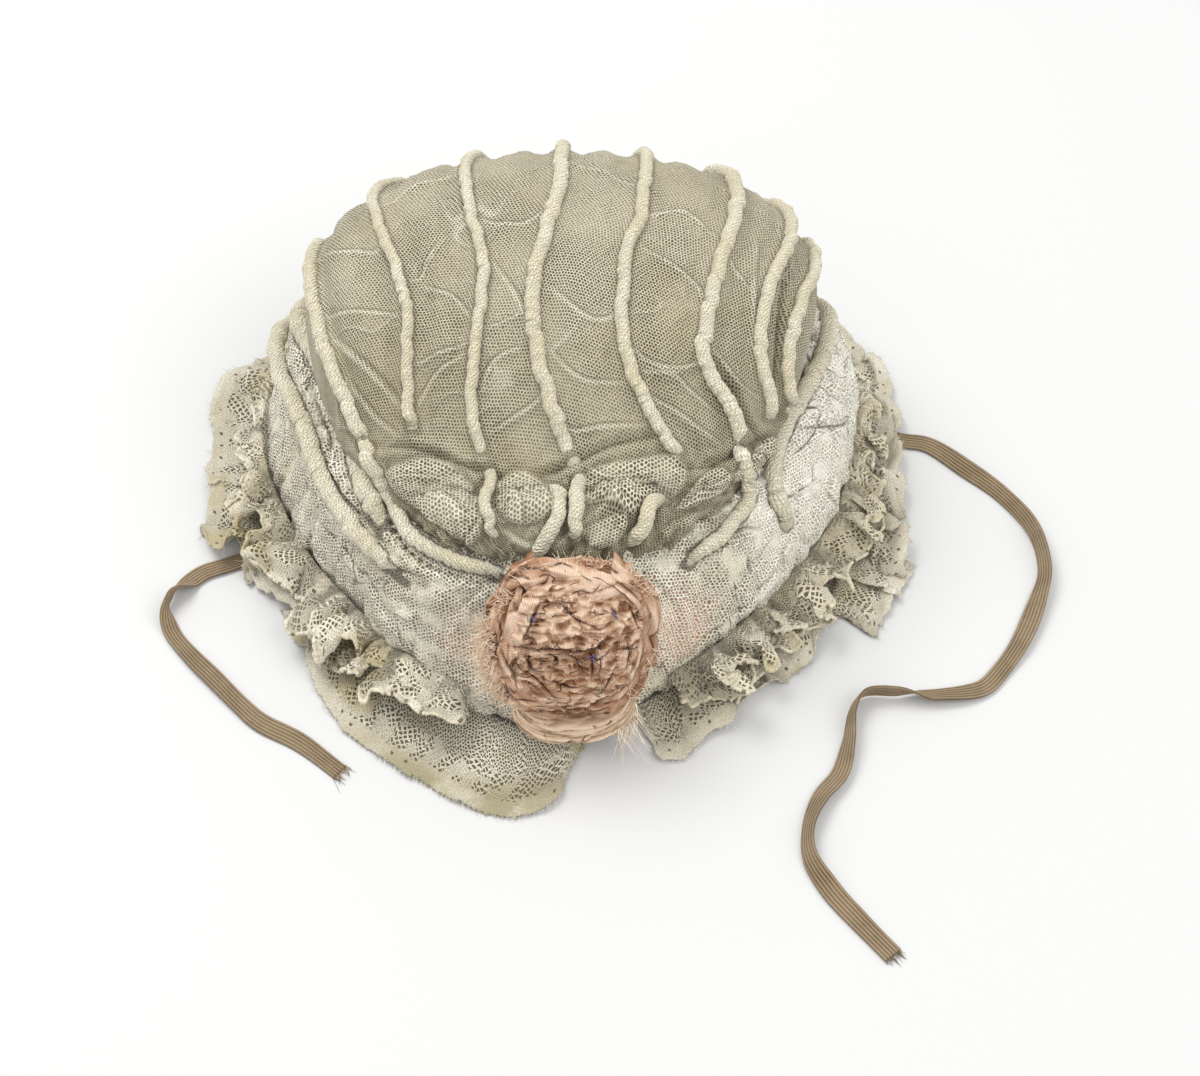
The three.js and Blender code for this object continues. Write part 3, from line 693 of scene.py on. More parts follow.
# Gathers along the upper edge, finer ones on the right, and the pressed left side.
gathered = crumple(np.stack([degrees * 1.3, turn_degrees * 0.22], -1), 5.5, 6)
right_part = smooth(70, 85, degrees) * (1 - smooth(110, 130, degrees))
gathers = 0.9 * gathered * np.exp(-(((turn_degrees - 88) / 34) ** 2))
gathers = gathers + 1.6 * (0.5 - np.abs(gathered)) * right_part * np.exp(-(((turn_degrees - 40) / 45) ** 2))
relief = 0.9 - 1.7 * pucker + 0.42 * fine + sewn + gathers - 6.0 * patch_at(-88, 30, 5, 38)
roll = roll + outward * (relief * fade)[..., None]
roll[..., 2] = np.maximum(roll[..., 2], 0.3)
# The silk shows through on both sides of the rosette, and painted light brightens the net on the right.
pink = 1.3 * (patch_at(24, 6.5, -2, 30) + 0.7 * patch_at(-16, 5, -2, 22) + 0.12 * smooth(0.3, 1, fine))
bleached = 0.75 * smooth(36, 52, degrees) * (1 - smooth(96, 124, degrees))
on_top = list(ROLL_CORDS.values()) + [(route, 2.0) for route in ROLL_TAILS.values()]
padded_roll = cloth_mesh("padded_roll", roll * MM, roll_uv, ring=True, tube=True, pink=np.clip(pink, 0, 1),
                         bleached=bleached, cord_gap=cord_gap(roll, on_top), **marks)
sew(padded_roll, roll_cloth(), "roll_net", "padded_front_roll")


# Crown: two layers of fine yellowed cotton net over the head, cut full, gathered to the roll and drawn in
# along a running stitch behind the front puffs.
CROWN_LINE = np.array([
    # y, height of the middle line
    [-0.72, 0.667], [-0.60, 0.693], [-0.53, 0.707], [-0.45, 0.640], [-0.36, 0.680], [-0.24, 0.767],
    [0.00, 0.893], [0.24, 0.973], [0.48, 0.993], [0.72, 0.973], [1.14, 0.933],
])
# Place of the top, power of the dome's section, swell between the cords and the spacing that it needs, and
# gap over the roll's edge.
APEX_X, APEX_Y, SHOULDER, PUFF, FULL_SPACING, SEAM = 3, 27, 2.9, 1.6, 0.35, 0.6
# Side and station run from -1 to 1 over the crown, from left to right and from front to back.
CORD_LINES = np.array([
    # station, then cords 1 to 8 from left to right
    [-1.00, -0.80, -0.55, -0.34, 0.08, 0.48, 0.71, 0.85, 0.95],
    [-0.85, -0.79, -0.53, -0.30, 0.07, 0.48, 0.71, 0.85, 0.95],
    [-0.70, -0.76, -0.50, -0.29, 0.05, 0.47, 0.71, 0.85, 0.95],
    [-0.55, -0.74, -0.50, -0.25, 0.04, 0.43, 0.67, 0.83, 0.94],
    [-0.40, -0.75, -0.49, -0.28, -0.04, 0.26, 0.55, 0.74, 0.88],
    [-0.25, -0.78, -0.47, -0.26, -0.09, 0.16, 0.40, 0.63, 0.77],
    [-0.10, -0.80, -0.45, -0.23, -0.09, 0.15, 0.40, 0.58, 0.72],
    [0.05, -0.80, -0.46, -0.22, -0.04, 0.16, 0.40, 0.58, 0.73],
    [0.20, -0.80, -0.48, -0.23, -0.02, 0.17, 0.41, 0.61, 0.76],
    [0.40, -0.80, -0.52, -0.26, -0.02, 0.20, 0.43, 0.64, 0.80],
    [1.00, -0.80, -0.54, -0.28, -0.01, 0.25, 0.48, 0.68, 0.84],
])
CORD_COUNT = 8
# First and last station of each cord, and the station where the net is drawn in over the cords.
CORD_RUNS = {1: (-0.60, 0.50), 2: (-0.50, 0.85), 3: (-0.93, 0.85), 4: (-0.93, 0.85),
             5: (-0.60, 0.85), 6: (-0.58, 0.85), 7: (-0.48, 0.85), 8: (-0.46, 0.55)}
TUCK = -0.51
CORD_SINK = 2.1


def pressed_square(side, station):
    """Square of -1 to 1 both ways pressed into a disc of radius one."""
    return side * np.sqrt(1 - station**2 / 2), station * np.sqrt(1 - side**2 / 2)


def dome(side, station):
    """Dome over the rim: superellipse in height, sine in spread, over a square pressed into a disc."""
    p, q = pressed_square(side, station)
    bearing = np.arctan2(p, -q)
    spread = np.sin(np.minimum(np.hypot(p, q), 1) * math.pi / 2)
    rise = (1 - np.minimum(spread, 1) ** SHOULDER) ** (1 / SHOULDER)
    edge = roll_point(bearing, np.full_like(bearing, math.pi / 2), SEAM)
    y = APEX_Y + (edge[..., 1] - APEX_Y) * spread
    top = read(CROWN_LINE, 1, y / HALF_LENGTH) * CROWN_HEIGHT
    height = edge[..., 2] + (top - edge[..., 2]) * rise
    return np.stack([edge[..., 0] * spread + APEX_X * rise, y, height], -1)


def lane_side(lane, station):
    """Sideways place of a lane between the cords, with its share of the way and the spacing there."""
    cords = [read(CORD_LINES, k, station) for k in range(1, CORD_COUNT + 1)]
    places = np.stack([-1 + 0 * station, *cords, 1 + 0 * station], -1)
    left = np.minimum(np.floor(lane).astype(int), CORD_COUNT)
    low = np.take_along_axis(places, left[..., None], -1)[..., 0]
    high = np.take_along_axis(places, left[..., None] + 1, -1)[..., 0]
    return low + (high - low) * (lane - left), lane - left, high - low


def dome_normal(side, station):
    """Unit normal of the dome from small steps, kept off its edge."""
    step = 0.004
    s, t = np.clip(side, step - 1, 1 - step), np.clip(station, step - 1, 1 - step)
    return unit(np.cross(dome(s + step, t) - dome(s - step, t), dome(s, t + step) - dome(s, t - step)))


def on_crown(path, lift=0.0):
    """Points on the dome from pairs of side and station, lifted along its normal."""
    path = np.array(path, float)
    return dome(path[:, 0], path[:, 1]) + dome_normal(path[:, 0], path[:, 1]) * np.reshape(lift, (-1, 1))


# Puffs of coarser net at the front: side, station, half width, half length, height.
PUFFS = [
    (-0.49, -0.71, 0.20, 0.20, 3.6), (-0.13, -0.67, 0.13, 0.13, 2.4), (0.25, -0.62, 0.20, 0.13, 3.6),
    (0.56, -0.68, 0.11, 0.11, 2.4), (0.80, -0.62, 0.12, 0.10, 2.2), (0.20, -0.84, 0.10, 0.08, 1.8),
]
# Wrinkles between the cords: side and station along each, height, width.
CROWN_FOLDS = [
    ([(-0.85, 0.39), (-0.63, 0.18), (-0.47, 0.09)], 1.0, 1.6),
    ([(-0.43, -0.02), (-0.40, -0.03), (-0.37, 0.01), (-0.31, 0.06)], 0.9, 1.1),
    ([(-0.40, -0.04), (-0.37, -0.07), (-0.31, -0.11), (-0.26, -0.18)], 0.9, 1.2),
    ([(-0.45, -0.26), (-0.36, -0.24), (-0.29, -0.23), (-0.24, -0.23)], 1.2, 1.3),
    ([(-0.46, -0.37), (-0.38, -0.29), (-0.29, -0.25)], 1.0, 1.3),
    ([(-0.26, -0.36), (-0.21, -0.28), (-0.12, -0.25)], 0.9, 1.4),
    ([(-0.22, -0.20), (-0.16, -0.19), (-0.10, -0.18)], 1.0, 0.9),
    ([(-0.76, -0.08), (-0.62, -0.25), (-0.51, -0.38)], 1.2, 2.0),
    ([(-0.76, 0.01), (-0.58, -0.07), (-0.47, -0.11)], 0.7, 1.4),
    ([(-0.50, 0.27), (-0.37, 0.29), (-0.26, 0.31)], 0.8, 1.6),
    ([(-0.74, -0.26), (-0.64, -0.40), (-0.56, -0.46)], 1.0, 1.6),
    ([(0.19, 0.00), (0.30, -0.04), (0.35, -0.06), (0.39, -0.11)], 1.1, 1.4),
    ([(0.17, 0.08), (0.25, 0.13), (0.36, 0.10)], 0.8, 1.5),
    ([(0.17, -0.25), (0.25, -0.28), (0.33, -0.28), (0.40, -0.25)], 1.2, 1.4),
    ([(0.18, -0.30), (0.30, -0.30), (0.38, -0.34), (0.50, -0.40)], 1.0, 1.3),
    ([(0.20, -0.34), (0.32, -0.38), (0.40, -0.42), (0.52, -0.48)], 1.2, 1.5),
    ([(0.41, 0.05), (0.47, 0.01), (0.52, -0.02)], 0.9, 1.2),
    ([(0.43, -0.22), (0.54, -0.30), (0.65, -0.34)], 1.0, 1.3),
    ([(0.43, -0.24), (0.60, -0.40), (0.76, -0.52)], -1.8, 0.9),
    ([(0.49, 0.14), (0.55, -0.10), (0.60, -0.24), (0.70, -0.36)], 1.0, 1.4),
    ([(0.62, 0.16), (0.66, -0.05), (0.73, -0.30), (0.82, -0.42)], -1.8, 1.0),
    ([(-0.06, -0.38), (0.01, -0.44), (0.11, -0.43), (0.23, -0.42)], 1.0, 1.5),
    ([(-0.24, -0.44), (-0.14, -0.40), (-0.06, -0.36)], 1.0, 1.4),
    ([(-0.20, -0.04), (-0.13, -0.16), (-0.09, -0.30)], 0.6, 1.6),
    ([(-0.04, -0.14), (0.06, -0.20), (0.15, -0.18)], 0.6, 1.6),
    ([(-0.06, -0.26), (0.04, -0.33), (0.16, -0.33)], 0.8, 1.5),
    ([(-0.03, 0.33), (0.05, 0.29), (0.15, 0.20)], 0.9, 1.4),
    ([(-0.22, 0.10), (-0.12, 0.05), (-0.03, 0.09)], 0.5, 1.6),
    ([(-0.68, -0.52), (-0.50, -0.49), (-0.34, -0.52), (-0.20, -0.56)], -1.3, 1.0),
    ([(-0.10, -0.55), (0.02, -0.52), (0.14, -0.47), (0.30, -0.44)], -1.3, 1.0),
    ([(0.40, -0.54), (0.52, -0.55), (0.66, -0.52), (0.80, -0.50)], -1.6, 1.1),
    ([(0.50, -0.78), (0.62, -0.74), (0.78, -0.78)], 1.8, 1.3),
    ([(0.48, -0.88), (0.60, -0.84), (0.76, -0.86)], 1.6, 1.2),
    ([(-0.24, -0.84), (-0.14, -0.90), (-0.04, -0.86)], 1.4, 1.2),
    ([(-0.66, -0.66), (-0.54, -0.60), (-0.40, -0.58)], 1.1, 1.1),
    ([(-0.64, -0.78), (-0.50, -0.74), (-0.38, -0.80)], 0.9, 1.2),
    ([(-0.42, -0.90), (-0.32, -0.78), (-0.28, -0.66)], 1.5, 1.2),
    ([(-0.22, -0.62), (-0.16, -0.72), (-0.18, -0.84)], 1.3, 1.1),
    ([(-0.10, -0.58), (-0.06, -0.68), (-0.08, -0.80)], 1.1, 1.0),
    ([(0.06, -0.52), (0.16, -0.56), (0.30, -0.54)], 1.3, 1.2),
    ([(0.08, -0.60), (0.20, -0.65), (0.34, -0.62)], 1.3, 1.2),
    ([(0.12, -0.70), (0.24, -0.74), (0.30, -0.86)], 1.3, 1.2),
    ([(0.44, -0.62), (0.56, -0.66), (0.68, -0.62)], 1.5, 1.1),
    ([(0.46, -0.70), (0.58, -0.72), (0.72, -0.70)], 1.3, 1.1),
    ([(0.70, -0.56), (0.80, -0.60), (0.88, -0.66)], 1.3, 1.2),
    ([(0.00, -0.90), (0.06, -0.80), (0.06, -0.66)], 1.4, 1.1),
    ([(0.10, -0.76), (0.20, -0.72), (0.33, -0.78)], 1.2, 1.2),
]


def between(tree, factor, first, second):
    """Value from first to second."""
    return part(tree, "ShaderNodeMix", {"data_type": "FLOAT"}, _0=factor, _2=first, _3=second).outputs[0]


def crown_cloth(name, layer):
    """Fine yellowed net. The upper layer's meshes stand open in places; the lower one is closed, and darkened
    as painted shade. Its holes, grooves, puff rims and the seams by the cords carry painted shade, its crests
    and crease lines painted highlights.
    """
    material, tree, shader, thread, place = new_cloth(name, 0.9, 0.2)
    fine_net = net_threads(tree, thread, 0.88 * MM, 0.2 - 0.6 * layer, 0.26, 0.7)
    coarse_net = net_threads(tree, thread, 1.15 * MM, 0.5, 0.26, 0.9)
    puffed = mark(tree, "puffed")
    net = between(tree, puffed, fine_net, coarse_net)
    patch = span(tree, noise(tree, place, 22, 4), 0.36, 0.66)
    stain = span(tree, noise(tree, place, 38, 5), 0.50, 0.68)
    drawn_out = vectors(tree, "MULTIPLY", thread, (1.0, 0.6, 1.0))
    # Where this mask is high, the holes get more painted shade and the upper layer lets more light through.
    see = span(tree, noise(tree, drawn_out, 60, 4, 0.6), 0.36, 0.68, 0.38, 1)
    see = larger(tree, see, times(tree, puffed, 0.5))
    fuzz = noise(tree, place, 1500, 3)
    crest, dark = fold_lines(tree)
    some = span(tree, noise(tree, place, 30, 1), 0.42, 0.60)
    lines = times(tree, creases(tree, place, 42, 0.016), some)
    seam = span(tree, mark(tree, "cord_gap"), 0.0, 1.2, 1, 0)
    yarn = blend(tree, patch, (0.61, 0.565, 0.42), (0.51, 0.46, 0.32))
    yarn = blend(tree, times(tree, stain, 0.3), yarn, (0.54, 0.46, 0.27))
    yarn = blend(tree, span(tree, fuzz, 0.38, 0.62, 0, 0.35), yarn, (0.48, 0.42, 0.27))
    # Painted highlight on fold crests and crease lines, in the threads and in the holes.
    light = larger(tree, times(tree, crest, 0.6), times(tree, lines, 0.5))
    yarn = blend(tree, light, yarn, (0.90, 0.86, 0.70))
    # Painted shade: the net is darker on the right side and towards the front.
    yarn = blend(tree, mark(tree, "soiled"), yarn, (0.33, 0.29, 0.185))
    yarn = blend(tree, times(tree, puffed, 0.5), yarn, (0.78, 0.73, 0.57))
    # Painted shade seen through the meshes: the colours of the holes.
    shut = blend(tree, 0.36, yarn, (0.26, 0.215, 0.125))
    hole = blend(tree, see, shut, (0.13, 0.105, 0.06))
    hole = blend(tree, times(tree, light, 0.7), hole, yarn)
    colour = blend(tree, net, hole, yarn)
    # Painted shade over the whole lower layer.
    if layer:
        colour = blend(tree, 0.6, colour, (0.06, 0.045, 0.025))
    # Painted shade in the grooves, along the cords' seams and in the crease round each puff.
    dark = larger(tree, dark, times(tree, seam, 0.8))
    dark = larger(tree, dark, mark(tree, "deep"))
    colour = blend(tree, times(tree, dark, 0.55), colour, (0.12, 0.095, 0.055))
    tree.links.new(colour, shader.inputs["Base Color"])
    if not layer:
        gap = times(tree, span(tree, net, 0.0, 0.6, 1, 0), see)
        tree.links.new(minus(tree, 1.0, times(tree, gap, 0.7)), shader.inputs["Alpha"])
    height = plus(tree, net, times(tree, lines, 2.0))
    raise_threads(tree, shader, plus(tree, height, times(tree, fuzz, 0.5)), 0.3 * MM)
    return material


def crown_route(cord):
    """Line over the crown along a cord, half sunk in its seam, tucked under where the net is drawn in."""
    front, back = CORD_RUNS[cord]
    station = np.linspace(front, back, 40)
    side = read(CORD_LINES, cord, station)
    tucked = 2.2 * np.exp(-(((station - TUCK) / 0.05) ** 2))
    raised = 1.2 * (1 - smooth(-0.62, -0.56, station))
    if cord not in ROLL_TAILS:
        tucked = tucked + 5.4 * (1 - smooth(0, 0.10, station - front))
    tucked = tucked + 4.0 * (1 - smooth(0, 0.05, back - station))
    return on_crown(np.stack([side, station], -1), CORD_SINK - tucked + raised)


CROWN_ROUTES = {cord: crown_route(cord) for cord in CORD_RUNS}
# Cords over the front puffs: side and station along each, and the lift at each place.
SHORT_CORDS = {
    "short_cord_left": on_crown(
        [(-0.16, -1.0), (-0.08, -0.90), (-0.02, -0.77), (-0.02, -0.66), (-0.08, -0.58)],
        [1.2, 3.0, 3.2, 2.6, -2.0]),
    "short_cord_right": on_crown(
        [(0.35, -0.95), (0.36, -0.84), (0.35, -0.74), (0.38, -0.62)], [0.6, 3.0, 3.0, -2.0]),
}
# Half width and height, in round figures, of the section that the net's thread coordinates unroll.
SECTION_HALF, SECTION_RISE = 66, 34


def crown_net(name, lanes, stations, seed, drop):
    """Net over the dome with puffs, wrinkles and a seam that climbs to each cord; drop lowers the layer."""
    lane, station = np.meshgrid(np.linspace(0, CORD_COUNT + 1, lanes), np.linspace(-1, 1, stations),
                                indexing="ij")
    side, share, spacing = lane_side(lane, station)
    ends = (1 - side**6) * (1 - station**6)
    normal = dome_normal(side, station)
    swell = PUFF * np.minimum(1, spacing / FULL_SPACING) * np.sin(math.pi * share) ** 2 * ends
    base = dome(side, station)
    p, q = pressed_square(side, station)
    share_out = np.linspace(0, 1, 200)
    reach = np.sin(share_out * math.pi / 2)
    section = np.stack([SECTION_HALF * reach, SECTION_RISE * (1 - reach**SHOULDER) ** (1 / SHOULDER)])
    arc = np.append(0, np.cumsum(np.hypot(*np.diff(section, axis=1))))
    stretch = np.interp(np.hypot(p, q), share_out, arc) / np.maximum(np.hypot(p, q), 1e-6)
    uv = np.stack([p * stretch, q * stretch * 1.15], -1) * MM
    nearest = np.round(lane).astype(int)
    to_cord = np.abs(lane - nearest) * spacing * HALF_WIDTH * 0.85
    seam = np.zeros_like(lane)
    for cord, (front, back) in CORD_RUNS.items():
        inside = (nearest == cord) * smooth(front - 0.04, front + 0.03, station)
        inside = inside * (1 - smooth(back - 0.03, back + 0.05, station))
        climb = 1.7 * np.exp(-((to_cord / 2.1) ** 2)) - 0.5 * np.exp(-(((to_cord - 4.0) / 1.5) ** 2))
        seam += inside * climb
    puffed = np.zeros_like(lane)
    bulge = np.zeros_like(lane)
    deep = np.zeros_like(lane)
    for s, t, w, l, height in PUFFS:
        three_lobed = 1 + 0.10 * np.sin(3 * np.arctan2(station - t, side - s) + 9 * s)
        r = np.hypot((side - s) / w, (station - t) / l) * three_lobed
        bulge = np.maximum(bulge, height * np.sqrt(np.maximum(0, 1 - r**2.4)))
        puffed = np.maximum(puffed, 1 - smooth(0.90, 1.0, r))
        # Painted shade in the crease round each puff.
        deep = np.maximum(deep, 0.6 * np.exp(-(((r - 1.03) / 0.06) ** 2)))
    folds = [(on_crown(path), height, width) for path, height, width in CROWN_FOLDS]
    pressed, marks = press_folds(base, normal, folds)
    front_zone = 1 - smooth(-0.58, -0.42, station)
    fade = (1 - side**8) * (1 - station**8)
    lines = 1 - np.abs(crumple(base, 19, seed)) ** 0.5
    gathers = crumple(np.stack([side * 75, station * 22], -1), 6, seed + 1)
    small = crumple(base, 8, seed + 2)
    ripple = 0.30 * gathers * (0.3 + front_zone) + 0.5 * lines + 0.25 * small
    ripple = ripple + front_zone * (0.9 * small + 1.3 * (1 - np.abs(crumple(base, 11, seed + 3)) ** 0.6))
    front_edge = (1 - smooth(-1, -0.78, station)) * (1 - smooth(0.6, 0.8, np.abs(side)))
    hang = front_edge * (2.4 + 1.4 * gathers + 0.8 * small)
    relief = swell + seam + bulge + pressed + ripple * fade + hang - drop
    points = base + normal * relief[..., None]
    routes = [(route, 1.8) for route in CROWN_ROUTES.values()]
    routes = routes + [(route, 2.1) for route in SHORT_CORDS.values()]
    # Painted shade, darker towards the front and on the right side.
    soiled = 0.30 * smooth(-0.12, -0.38, station) + 0.22 * smooth(0.25, 0.6, side)
    return cloth_mesh(name, points * MM, uv, deep=deep, puffed=puffed, soiled=soiled,
                      cord_gap=cord_gap(points, routes), **marks)


net_upper = crown_net("crown_net_upper", 300, 320, 21, 0.0)
sew(net_upper, crown_cloth("crown_net_open", 0), "crown_net", "net_crown")
net_lower = crown_net("crown_net_lower", 150, 150, 21, 1.3)
sew(net_lower, crown_cloth("crown_net_close", 1), "crown_net")


# Cords: cotton cord rolled in net, caught down along the crown and round the roll, and puckered by its
# stitches.
STRAND_SLANT = 1.25 * MM


def cord_cloth():
    """Cream net casing over rope: slanting ridges of the strands below with painted shade between them,
    pinholes with painted shade in them, ochre stains.
    """
    material, tree, shader, thread, place = new_cloth("cotton_cord", 0.88, 0.3)
    net = net_threads(tree, thread, 0.80 * MM, 0.6, 0.28, 0.8)
    split = part(tree, "ShaderNodeSeparateXYZ", _0=shaken(tree, thread, 0.0, 400, 0.0008))
    slope = plus(tree, split.outputs[0], split.outputs[1])
    strand = calc(tree, "SINE", times(tree, slope, 2 * math.pi / STRAND_SLANT))
    patch = span(tree, noise(tree, place, 50, 4), 0.35, 0.68)
    fuzz = noise(tree, place, 1500, 3)
    yarn = blend(tree, patch, (0.93, 0.89, 0.73), (0.82, 0.75, 0.54))
    # Painted shade between the strands, where the bump is lowest.
    yarn = blend(tree, span(tree, strand, -0.9, 0.3, 0.45, 0), yarn, (0.50, 0.43, 0.27))
    yarn = blend(tree, span(tree, fuzz, 0.35, 0.62, 0, 0.35), yarn, (0.50, 0.43, 0.28))
    # Painted shade in the pinholes of the casing.
    colour = blend(tree, net, blend(tree, 0.5, yarn, (0.28, 0.23, 0.13)), yarn)
    tree.links.new(colour, shader.inputs["Base Color"])
    height = plus(tree, times(tree, net, 0.6), plus(tree, times(tree, strand, 0.45), fuzz))
    raise_threads(tree, shader, height, 0.30 * MM)
    return material


cord_material = cord_cloth()
# Length of a tube's step, points round it, length of a strand's turn and spacing of its casing's gathers.
CORD_STEP, CORD_SIDES, STRAND_LAY, GATHER_PITCH = 0.4, 28, 2.5, 1.5


def sewn_cord(name, route, radius, seed, node, thin=(12.0, 0.1)):
    """Tube along a route in millimetres; its radius follows the strands, the stitches and the gathers.

    It thins to 0.6 of its radius over the lengths in thin at its start and end.
    """
    length = np.linalg.norm(np.diff(route, axis=0), axis=1).sum()
    steps = int(length / CORD_STEP)
    line = curve_through(route, steps)
    run = np.linspace(0, length, steps)
    stray = np.stack([crumple(run[:, None], 13, seed + k) for k in range(3)], -1)
    line = line + stray * np.array([0.35, 0.35, 0.12])
    tangent = unit(np.gradient(line, axis=0))
    across = unit(np.cross(tangent, [0.0, 0.3, 1.0]) + 1e-6)
    up = np.cross(across, tangent)
    angle = np.linspace(0, 2 * math.pi, CORD_SIDES, endpoint=False)
    strand = np.sin((2 * math.pi * run / STRAND_LAY + crumple(run[:, None], 9, seed + 4))[:, None] + angle)
    gathers = smooth(0.1, 0.7, crumple(run[:, None], 26, seed + 5))
    gathers = gathers * np.abs(np.sin(math.pi * run / GATHER_PITCH))
    pinch = crumple(run[:, None], 7, seed + 9)
    section = radius * (0.94 + 0.035 * strand + (0.045 * pinch + 0.07 * gathers)[:, None])
    ends = np.minimum(1, np.sqrt(np.maximum(0.05, np.minimum(run, length - run) / 2.2)))
    ends = ends * (0.6 + 0.4 * smooth(0, thin[0], run) * smooth(0, thin[1], length - run))
    section = section * ends[:, None]
    points = line[:, None] + across[:, None] * (section * np.cos(angle))[..., None]
    points = points + up[:, None] * (section * np.sin(angle))[..., None]
    uv = np.stack(np.broadcast_arrays(run[:, None], np.append(angle, 2 * math.pi)[None] * radius), -1) * MM
    return sew(cloth_mesh(name, points * MM, uv, tube=True, flip=True), cord_material, "cotton_cord", node)


CORD_RADII = {1: 1.95, 2: 1.5, 3: 1.55, 4: 1.95, 5: 1.75, 6: 1.95, 7: 1.75, 8: 1.75}
for cord, route in CROWN_ROUTES.items():
    if cord in ROLL_TAILS:
        route = np.concatenate([ROLL_TAILS[cord], route])
    sewn_cord(f"sewn_cord_{cord}", route, CORD_RADII[cord], 100 + 10 * cord, f"crown_cord_{cord}")
for name, node, seed in (("short_cord_left", "puff_cord_left", 200),
                         ("short_cord_right", "puff_cord_right", 210)):
    sewn_cord(name, SHORT_CORDS[name], 2.0, seed, node, (4.0, 8.0))
for name, node, seed in (("piping_left_inner", "roll_cord_left_inner", 220),
                         ("piping_left_outer", "roll_cord_left_outer", 230),
                         ("piping_right_inner", "roll_cord_right_inner", 240)):
    sewn_cord(name, *ROLL_CORDS[name], seed, node, (0.1, 14.0))


# Ruffle: a wide strip of machine lace gathered under the roll, fine net at its head, a border of larger
# meshes and a picot edge. Old folds make it lie flat in some lobes and stand crumpled in others.
RUFFLE_EDGE = np.array([
    # bearing in degrees, reach as a share of the opening, crumple from 0 to 1
    [-346, 0.990, 0.25], [-343, 1.197, 0.25], [-328, 1.102, 0.45], [-309, 1.148, 0.80], [-295, 1.236, 1.00],
    [-280, 1.205, 0.80], [-264, 1.207, 0.60], [-250, 1.271, 0.35], [-242, 1.230, 0.50], [-180, 1.200, 0.55],
    [-118, 1.215, 0.50], [-106, 1.313, 0.20], [-94, 1.237, 0.30], [-78, 1.209, 0.90], [-71, 1.170, 1.00],
    [-56, 1.072, 0.90], [-47, 1.132, 0.35], [-38, 1.194, 0.12], [-22, 1.277, 0.05], [-6, 1.346, 0.05],
    [1, 1.253, 0.05], [4, 1.096, 0.05],
])
LACE_WALL = 1.2
LACE_THICKNESS = 0.35 * MM
FOLD_SPACING = 15.0
FOLD_HEIGHT = 8
# The lace's pattern: its square meshes, the slots of its border, the depth of its figured part.
SQUARE_MESH = 1.30 * MM
SLOT_PITCH = 4.5 * MM
FIGURED_DEPTH = 12 * MM


def lace_cloth(name, border, tone):
    """Grey-cream lace. From the free edge: close border with slots, leaf-shaped patches of square meshes
    between close ones, then fine hexagonal net, with painted shade in its meshes and folds. The second thread
    coordinate is the distance from the edge.
    """
    material, tree, shader, thread, place = new_cloth(name, 0.9, 0.3)
    split = part(tree, "ShaderNodeSeparateXYZ", _0=thread)
    along, inward = split.outputs[0], split.outputs[1]
    fine_net = net_threads(tree, thread, 1.0 * MM, 0.1, 0.30)
    slanted = part(tree, "ShaderNodeSeparateXYZ", _0=shaken(tree, thread, 0.78, 260, 0.0016))
    waves = [calc(tree, "SINE", times(tree, slanted.outputs[k], math.pi / SQUARE_MESH)) for k in (0, 1)]
    bars = [calc(tree, "ABSOLUTE", wave) for wave in waves]
    square_net = span(tree, calc(tree, "MINIMUM", *bars), 0.44, 0.66, 1, 0)
    close_net = net_threads(tree, thread, 0.85 * MM, 0.9, 0.36)
    leaf = span(tree, noise(tree, shaken(tree, thread, 0.4, 60, 0.006), 170, 1), 0.50, 0.56)
    waver = times(tree, minus(tree, noise(tree, thread, 70, 2), 0.5), 10 * MM)
    place_in = plus(tree, inward, waver)
    figured = between(tree, leaf, square_net, larger(tree, close_net, 0.5))
    ground = span(tree, place_in, FIGURED_DEPTH, FIGURED_DEPTH + 2 * MM)
    cover = between(tree, ground, figured, fine_net)
    edge = plus(tree, inward, times(tree, waver, 0.15))
    in_border = span(tree, edge, border, border + 0.8 * MM, 1, 0)
    beat = calc(tree, "ABSOLUTE", calc(tree, "SINE", times(tree, along, math.pi / SLOT_PITCH)))
    from_row = calc(tree, "ABSOLUTE", minus(tree, inward, 0.62 * border))
    slot = times(tree, calc(tree, "GREATER_THAN", beat, 0.96), calc(tree, "LESS_THAN", from_row, 0.45 * MM))
    slot = times(tree, slot, span(tree, noise(tree, thread, 120, 1), 0.50, 0.54, 0.0, 0.8))
    hem = times(tree, larger(tree, close_net, 0.62), minus(tree, 1.0, slot))
    cover = between(tree, in_border, cover, hem)
    patch = span(tree, noise(tree, place, 36, 4), 0.34, 0.68)
    stain = span(tree, noise(tree, place, 50, 4), 0.51, 0.66)
    fuzz = noise(tree, place, 1300, 3)
    yarn = blend(tree, patch, tone[0], tone[1])
    yarn = blend(tree, times(tree, stain, 0.75), yarn, (0.47, 0.39, 0.18))
    yarn = blend(tree, span(tree, fuzz, 0.35, 0.62, 0, 0.35), yarn, (0.42, 0.36, 0.24))
    # Olive-brown darkening, partly real stain and partly painted shade of the folds, near the front.
    aged = times(tree, mark(tree, "aged"), span(tree, noise(tree, place, 90, 3), 0.3, 0.6, 0.3, 0.9))
    yarn = blend(tree, aged, yarn, (0.33, 0.285, 0.165))
    # Painted shade deep in the folds.
    yarn = blend(tree, times(tree, mark(tree, "deep"), 0.62), yarn, (0.10, 0.08, 0.045))
    # Painted shade seen through the meshes: the dark hole colour.
    shade = blend(tree, span(tree, cover, 0.2, 0.8), (0.20, 0.165, 0.10), yarn)
    tree.links.new(shade, shader.inputs["Base Color"])
    tree.links.new(span(tree, cover, 0.12, 0.5, 0.5, 1, smooth=False), shader.inputs["Alpha"])
    raise_threads(tree, shader, plus(tree, cover, times(tree, fuzz, 0.6)), 0.35 * MM)
    return material


